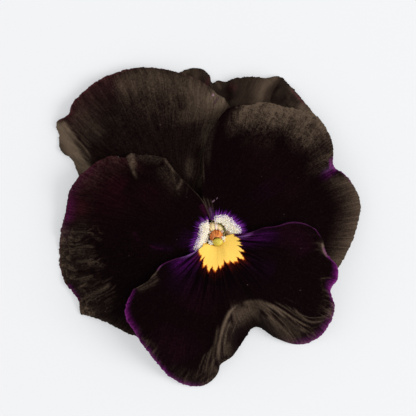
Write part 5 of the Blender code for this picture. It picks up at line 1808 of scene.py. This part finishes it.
def make_pistil():
    head, points = ball("stigma", 40, 28)
    hollow = np.exp(-(((points[:, 1] + 0.86) / 0.26) ** 2 + (points[:, 2] / 0.30) ** 2))
    shaped = points * (1 - 0.30 * hollow)[:, None] * np.array([1.08, 0.86, 0.8])
    shaped[:, 0] += 0.22
    set_points(head, placed(on_column(shaped, STIGMA_ALONG)))
    # painted shade in the dent and on the lower side
    store(head, "shade", np.clip(hollow * 1.5 + np.clip(-points[:, 1] - 0.45, 0, 1), 0, 1))
    style, points = ball("style", 16, 24)
    bow = 0.12 * np.sin(points[:, 2] * 2.5)
    shaped = points * np.array([0.26, 0.26, 2.3])
    shaped[:, 0] += bow
    set_points(style, placed(on_column(shaped, STYLE_ALONG)))
    store(style, "shade", np.clip(-points[:, 2], 0, 1) * 0.7)
    ovary, points = ball("ovary", 24, 18)
    ribs = 1 + 0.06 * np.cos(3 * np.arctan2(points[:, 1], points[:, 0]))
    shaped = points * np.array([0.62, 0.62, 1.45]) * ribs[:, None]
    set_points(ovary, placed(on_column(shaped, OVARY_ALONG)))
    store(ovary, "shade", np.full(len(points), 0.8))
    pistil = fuse("stigma_and_style", [head, style, ovary])
    wear(pistil, pistil_finish())
    return settle(pistil, "pistil_green", "pistil")


make_pistil()

# %% [markdown]
# ## Tufts in the throat
# On both sides of the stigma a tuft of white hairs closes the gap between the lower petal's lip and the
# stamens, so that nothing but the spur's dark mouth lies behind.

# %% Make the throat tufts
TUFTS = [  # x, y, height, spread and where the hairs point
    (-0.85, -1.0, 9.8, 0.28, (0.1, -0.1, 1.0)),
    (1.65, -0.1, 9.9, 0.3, (-0.1, 0.1, 1.0)),
]
HAIRS_IN_TUFT = 60


def make_tufts():
    draw = np.random.default_rng(31)
    roots, directions = [], []
    for x, y, z, spread, heading in TUFTS:
        scatter = draw.normal(0, 0.5, (HAIRS_IN_TUFT, 3)) * (spread, spread, 0.2)
        roots.append(np.array([x, y, z]) + scatter)
        directions.append(np.array(heading) + draw.normal(0, 0.3, (HAIRS_IN_TUFT, 3)))
    roots = np.concatenate(roots)
    count = len(roots)
    lengths = draw.uniform(0.5, 0.9, count)
    widths = draw.uniform(0.15, 0.24, count)
    tones = draw.uniform(0, 0.3, count)
    tufts = copies("throat_tufts", HAIR, roots, np.concatenate(directions), lengths, widths, tones)
    wear(tufts, beard_finish)
    return settle(tufts, "beard_white")


make_tufts()

# %% [markdown]
# ## Sepals, receptacle and stalk
# Behind the petals a green receptacle carries five lance-shaped sepals, each with a short ear, and the
# stalk hooks back from it. They grow as one, so they are one piece, with veins that run along each
# sepal and ribs along the stalk.

# %% The green parts' finish
RECEPTACLE = (0.0, 2.1)
SEPAL_WIDTH = 3.7
SEPAL_ANGLES = (90, 158, 22, 221, 319)
SEPAL_SPINE = [  # distance outwards and height: the ear first, then the blade
    (1.9, 0.7), (2.2, 2.3), (2.2, 3.6), (3.9, 4.6), (7.6, 5.2), (12.0, 4.9), (15.4, 4.2),
]
SEPAL_SHARES = [0, 0.06, 0.14, 0.22, 0.45, 0.7, 0.9, 1]
SEPAL_WIDTHS = [0.50, 0.62, 0.45, 0.42, 1.0, 0.86, 0.42, 0.06]  # of the full width, at those shares
SEPAL_STEPS, SEPAL_ACROSS = 60, 24
SEPAL_THICKNESS = 0.4


def calyx_finish():
    finish = Finish("calyx", Roughness=0.5, Specular_IOR_Level=0.35, Subsurface_Weight=0.1)
    finish.shader.inputs["Subsurface Radius"].default_value = (0.0004, 0.0008, 0.0002)
    x, y, z = finish.places()
    blotches = finish.grain(finish.vector(x, y, z), 0.45, 4.0, 0.6)
    cells = finish.grain(finish.vector(x, y, z), 4.5, 2.0)
    across = finish.painted("across")
    along = finish.painted("along")
    veins = (across * 26.0 + (blotches - 0.5) * 1.6).sine()
    colour = finish.blend((blotches * 1.6 - 0.4).clamped(), (0.055, 0.13, 0.018), (0.115, 0.225, 0.04))
    colour = finish.blend((veins - 0.55).clamped() * 0.9, colour, (0.19, 0.30, 0.085))
    colour = finish.blend((across.size() - 0.82).clamped() * 3.0, colour, (0.20, 0.10, 0.09))
    colour = finish.blend((along - 0.75).clamped() * 1.6, colour, (0.14, 0.06, 0.05))
    finish.feed("Base Color", colour)
    finish.relief(veins * 0.4 + cells * 0.6, 0.5, 0.12)
    return finish


print("the sepals point to", SEPAL_ANGLES, "degrees")


# %% Make the green parts
def sepal_points(angle):
    spine = smooth_run(SEPAL_SPINE, SEPAL_STEPS + 1)
    widths = np.array(SEPAL_WIDTHS) * SEPAL_WIDTH / 2
    half_widths = np.interp(np.linspace(0, 1, SEPAL_STEPS + 1), SEPAL_SHARES, widths)
    across = np.linspace(-1, 1, SEPAL_ACROSS + 1)
    turn = math.radians(angle)
    outward = np.array([math.cos(turn), math.sin(turn), 0])
    sideways = np.array([-math.sin(turn), math.cos(turn), 0])
    cupped = 0.35 * half_widths[:, None] * (1 - across[None] ** 2)
    keel = 0.10 * np.exp(-((across[None] / 0.12) ** 2))
    height = spine[:, 1:2] - cupped - keel + 0.2
    plan = spine[:, :1, None] * outward + (half_widths[:, None] * across[None])[..., None] * sideways
    heights = np.concatenate([np.zeros((*height.shape, 2)), height[..., None]], axis=2)
    return plan + heights + (*RECEPTACLE, 0)


def make_sepal(angle):
    points = sepal_points(angle)
    blade, rows, columns = grid_of("sepal", points)
    store(blade, "across", columns / (SEPAL_ACROSS / 2) - 1)
    store(blade, "along", rows / SEPAL_STEPS)
    apply(blade, "SOLIDIFY", thickness=SEPAL_THICKNESS * MM, offset=0.0)
    return blade


STALK_ROUTE = [(0, 2.1, 3.6), (0, 2.7, 2.2), (0.2, 4.4, 1.2), (0.8, 8.0, 0.95), (1.5, 13.0, 0.95)]
STALK_STEPS, STALK_SIDES, STALK_RADIUS, STALK_RIBS = 49, 24, 0.88, 5
STALK_END = np.array([0.97, 0.85, 0.45])  # the pinched-off end narrows by these shares


def make_stalk():
    line = smooth_run(STALK_ROUTE, STALK_STEPS + 1)
    turn = np.linspace(0, 2 * math.pi, STALK_SIDES + 1)
    radii = STALK_RADIUS * (1 + 0.05 * np.cos(STALK_RIBS * turn))[None] * np.ones((STALK_STEPS + 1, 1))
    radii[-len(STALK_END) :] *= STALK_END[:, None]
    stalk, rows, columns = tube_round("stalk", line, radii, (1.0, 0.0, 0.0))
    store(stalk, "across", np.sin(columns * math.pi / 6) * 0.6)
    store(stalk, "along", rows / STALK_STEPS * 0.7)
    close_tube(stalk, 0.01 * MM)
    return stalk


RECEPTACLE_SIZE = np.array([2.9, 2.9, 0.75])  # half its width, depth and height
RECEPTACLE_HEIGHT = 3.85  # of its middle above the floor


def make_calyx():
    seat, points = ball("receptacle", 36, 20)
    set_points(seat, placed(points * RECEPTACLE_SIZE + (*RECEPTACLE, RECEPTACLE_HEIGHT)))
    store(seat, "across", points[:, 0] * 0.2)
    store(seat, "along", np.zeros(len(points)))
    sepals = [make_sepal(angle) for angle in SEPAL_ANGLES]
    whole = fuse("sepals_and_stalk", [seat, *sepals, make_stalk()])
    wear(whole, calyx_finish())
    return settle(whole, "calyx_green", "calyx_and_stalk")


make_calyx()

# %% [markdown]
# ## Floor and light
# The bloom lies on a plain pale floor in almost shadowless light. The floor therefore glows faintly, like
# paper on a light table, the sky is even, and one large soft lamp at the right leaves the faint shade
# that the photo shows at the bloom's left.

# %% The floor
FLOOR_SIZE = 3.0  # m
FLOOR_DROP = 0.02  # mm, so that the bloom doesn't share its plane
FLOOR_GLOW = 0.4


def make_floor():
    deselect()
    bpy.ops.mesh.primitive_plane_add(size=FLOOR_SIZE, location=(0, 0, -FLOOR_DROP * MM))
    floor = bpy.context.object
    floor.name = "floor"
    finish = Finish("white_floor", Roughness=0.9, Specular_IOR_Level=0.0)
    finish.shader.inputs["Base Color"].default_value = (0.455, 0.460, 0.468, 1)
    finish.shader.inputs["Emission Color"].default_value = (0.97, 0.98, 1.0, 1)
    finish.shader.inputs["Emission Strength"].default_value = FLOOR_GLOW
    wear(floor, finish)
    print("the floor is", FLOOR_SIZE, "m wide")


make_floor()

# %% The light
SKY_STRENGTH = 0.76
LAMP_SIZE, LAMP_POWER = 1.5, 34.5  # m and W
LAMP_PLACE = (1.8, -0.1, 1.25)  # m


def light_the_scene():
    world = bpy.data.worlds.new("soft_sky")
    world.use_nodes = True
    background = world.node_tree.nodes["Background"]
    background.inputs["Color"].default_value = (1.0, 1.0, 1.0, 1)
    background.inputs["Strength"].default_value = SKY_STRENGTH
    bpy.context.scene.world = world
    data = bpy.data.lights.new("soft_lamp", "AREA")
    data.shape = "DISK"
    data.size = LAMP_SIZE
    data.energy = LAMP_POWER
    lamp = bpy.data.objects.new("soft_lamp", data)
    lamp.location = LAMP_PLACE
    lamp.rotation_euler = Vector(lamp.location).to_track_quat("Z", "Y").to_euler()
    bpy.context.scene.collection.objects.link(lamp)
    view = bpy.context.scene.view_settings
    view.view_transform = "Standard"
    view.look = "None"
    print("the lamp is", round(lamp.location.length, 2), "m away")


light_the_scene()
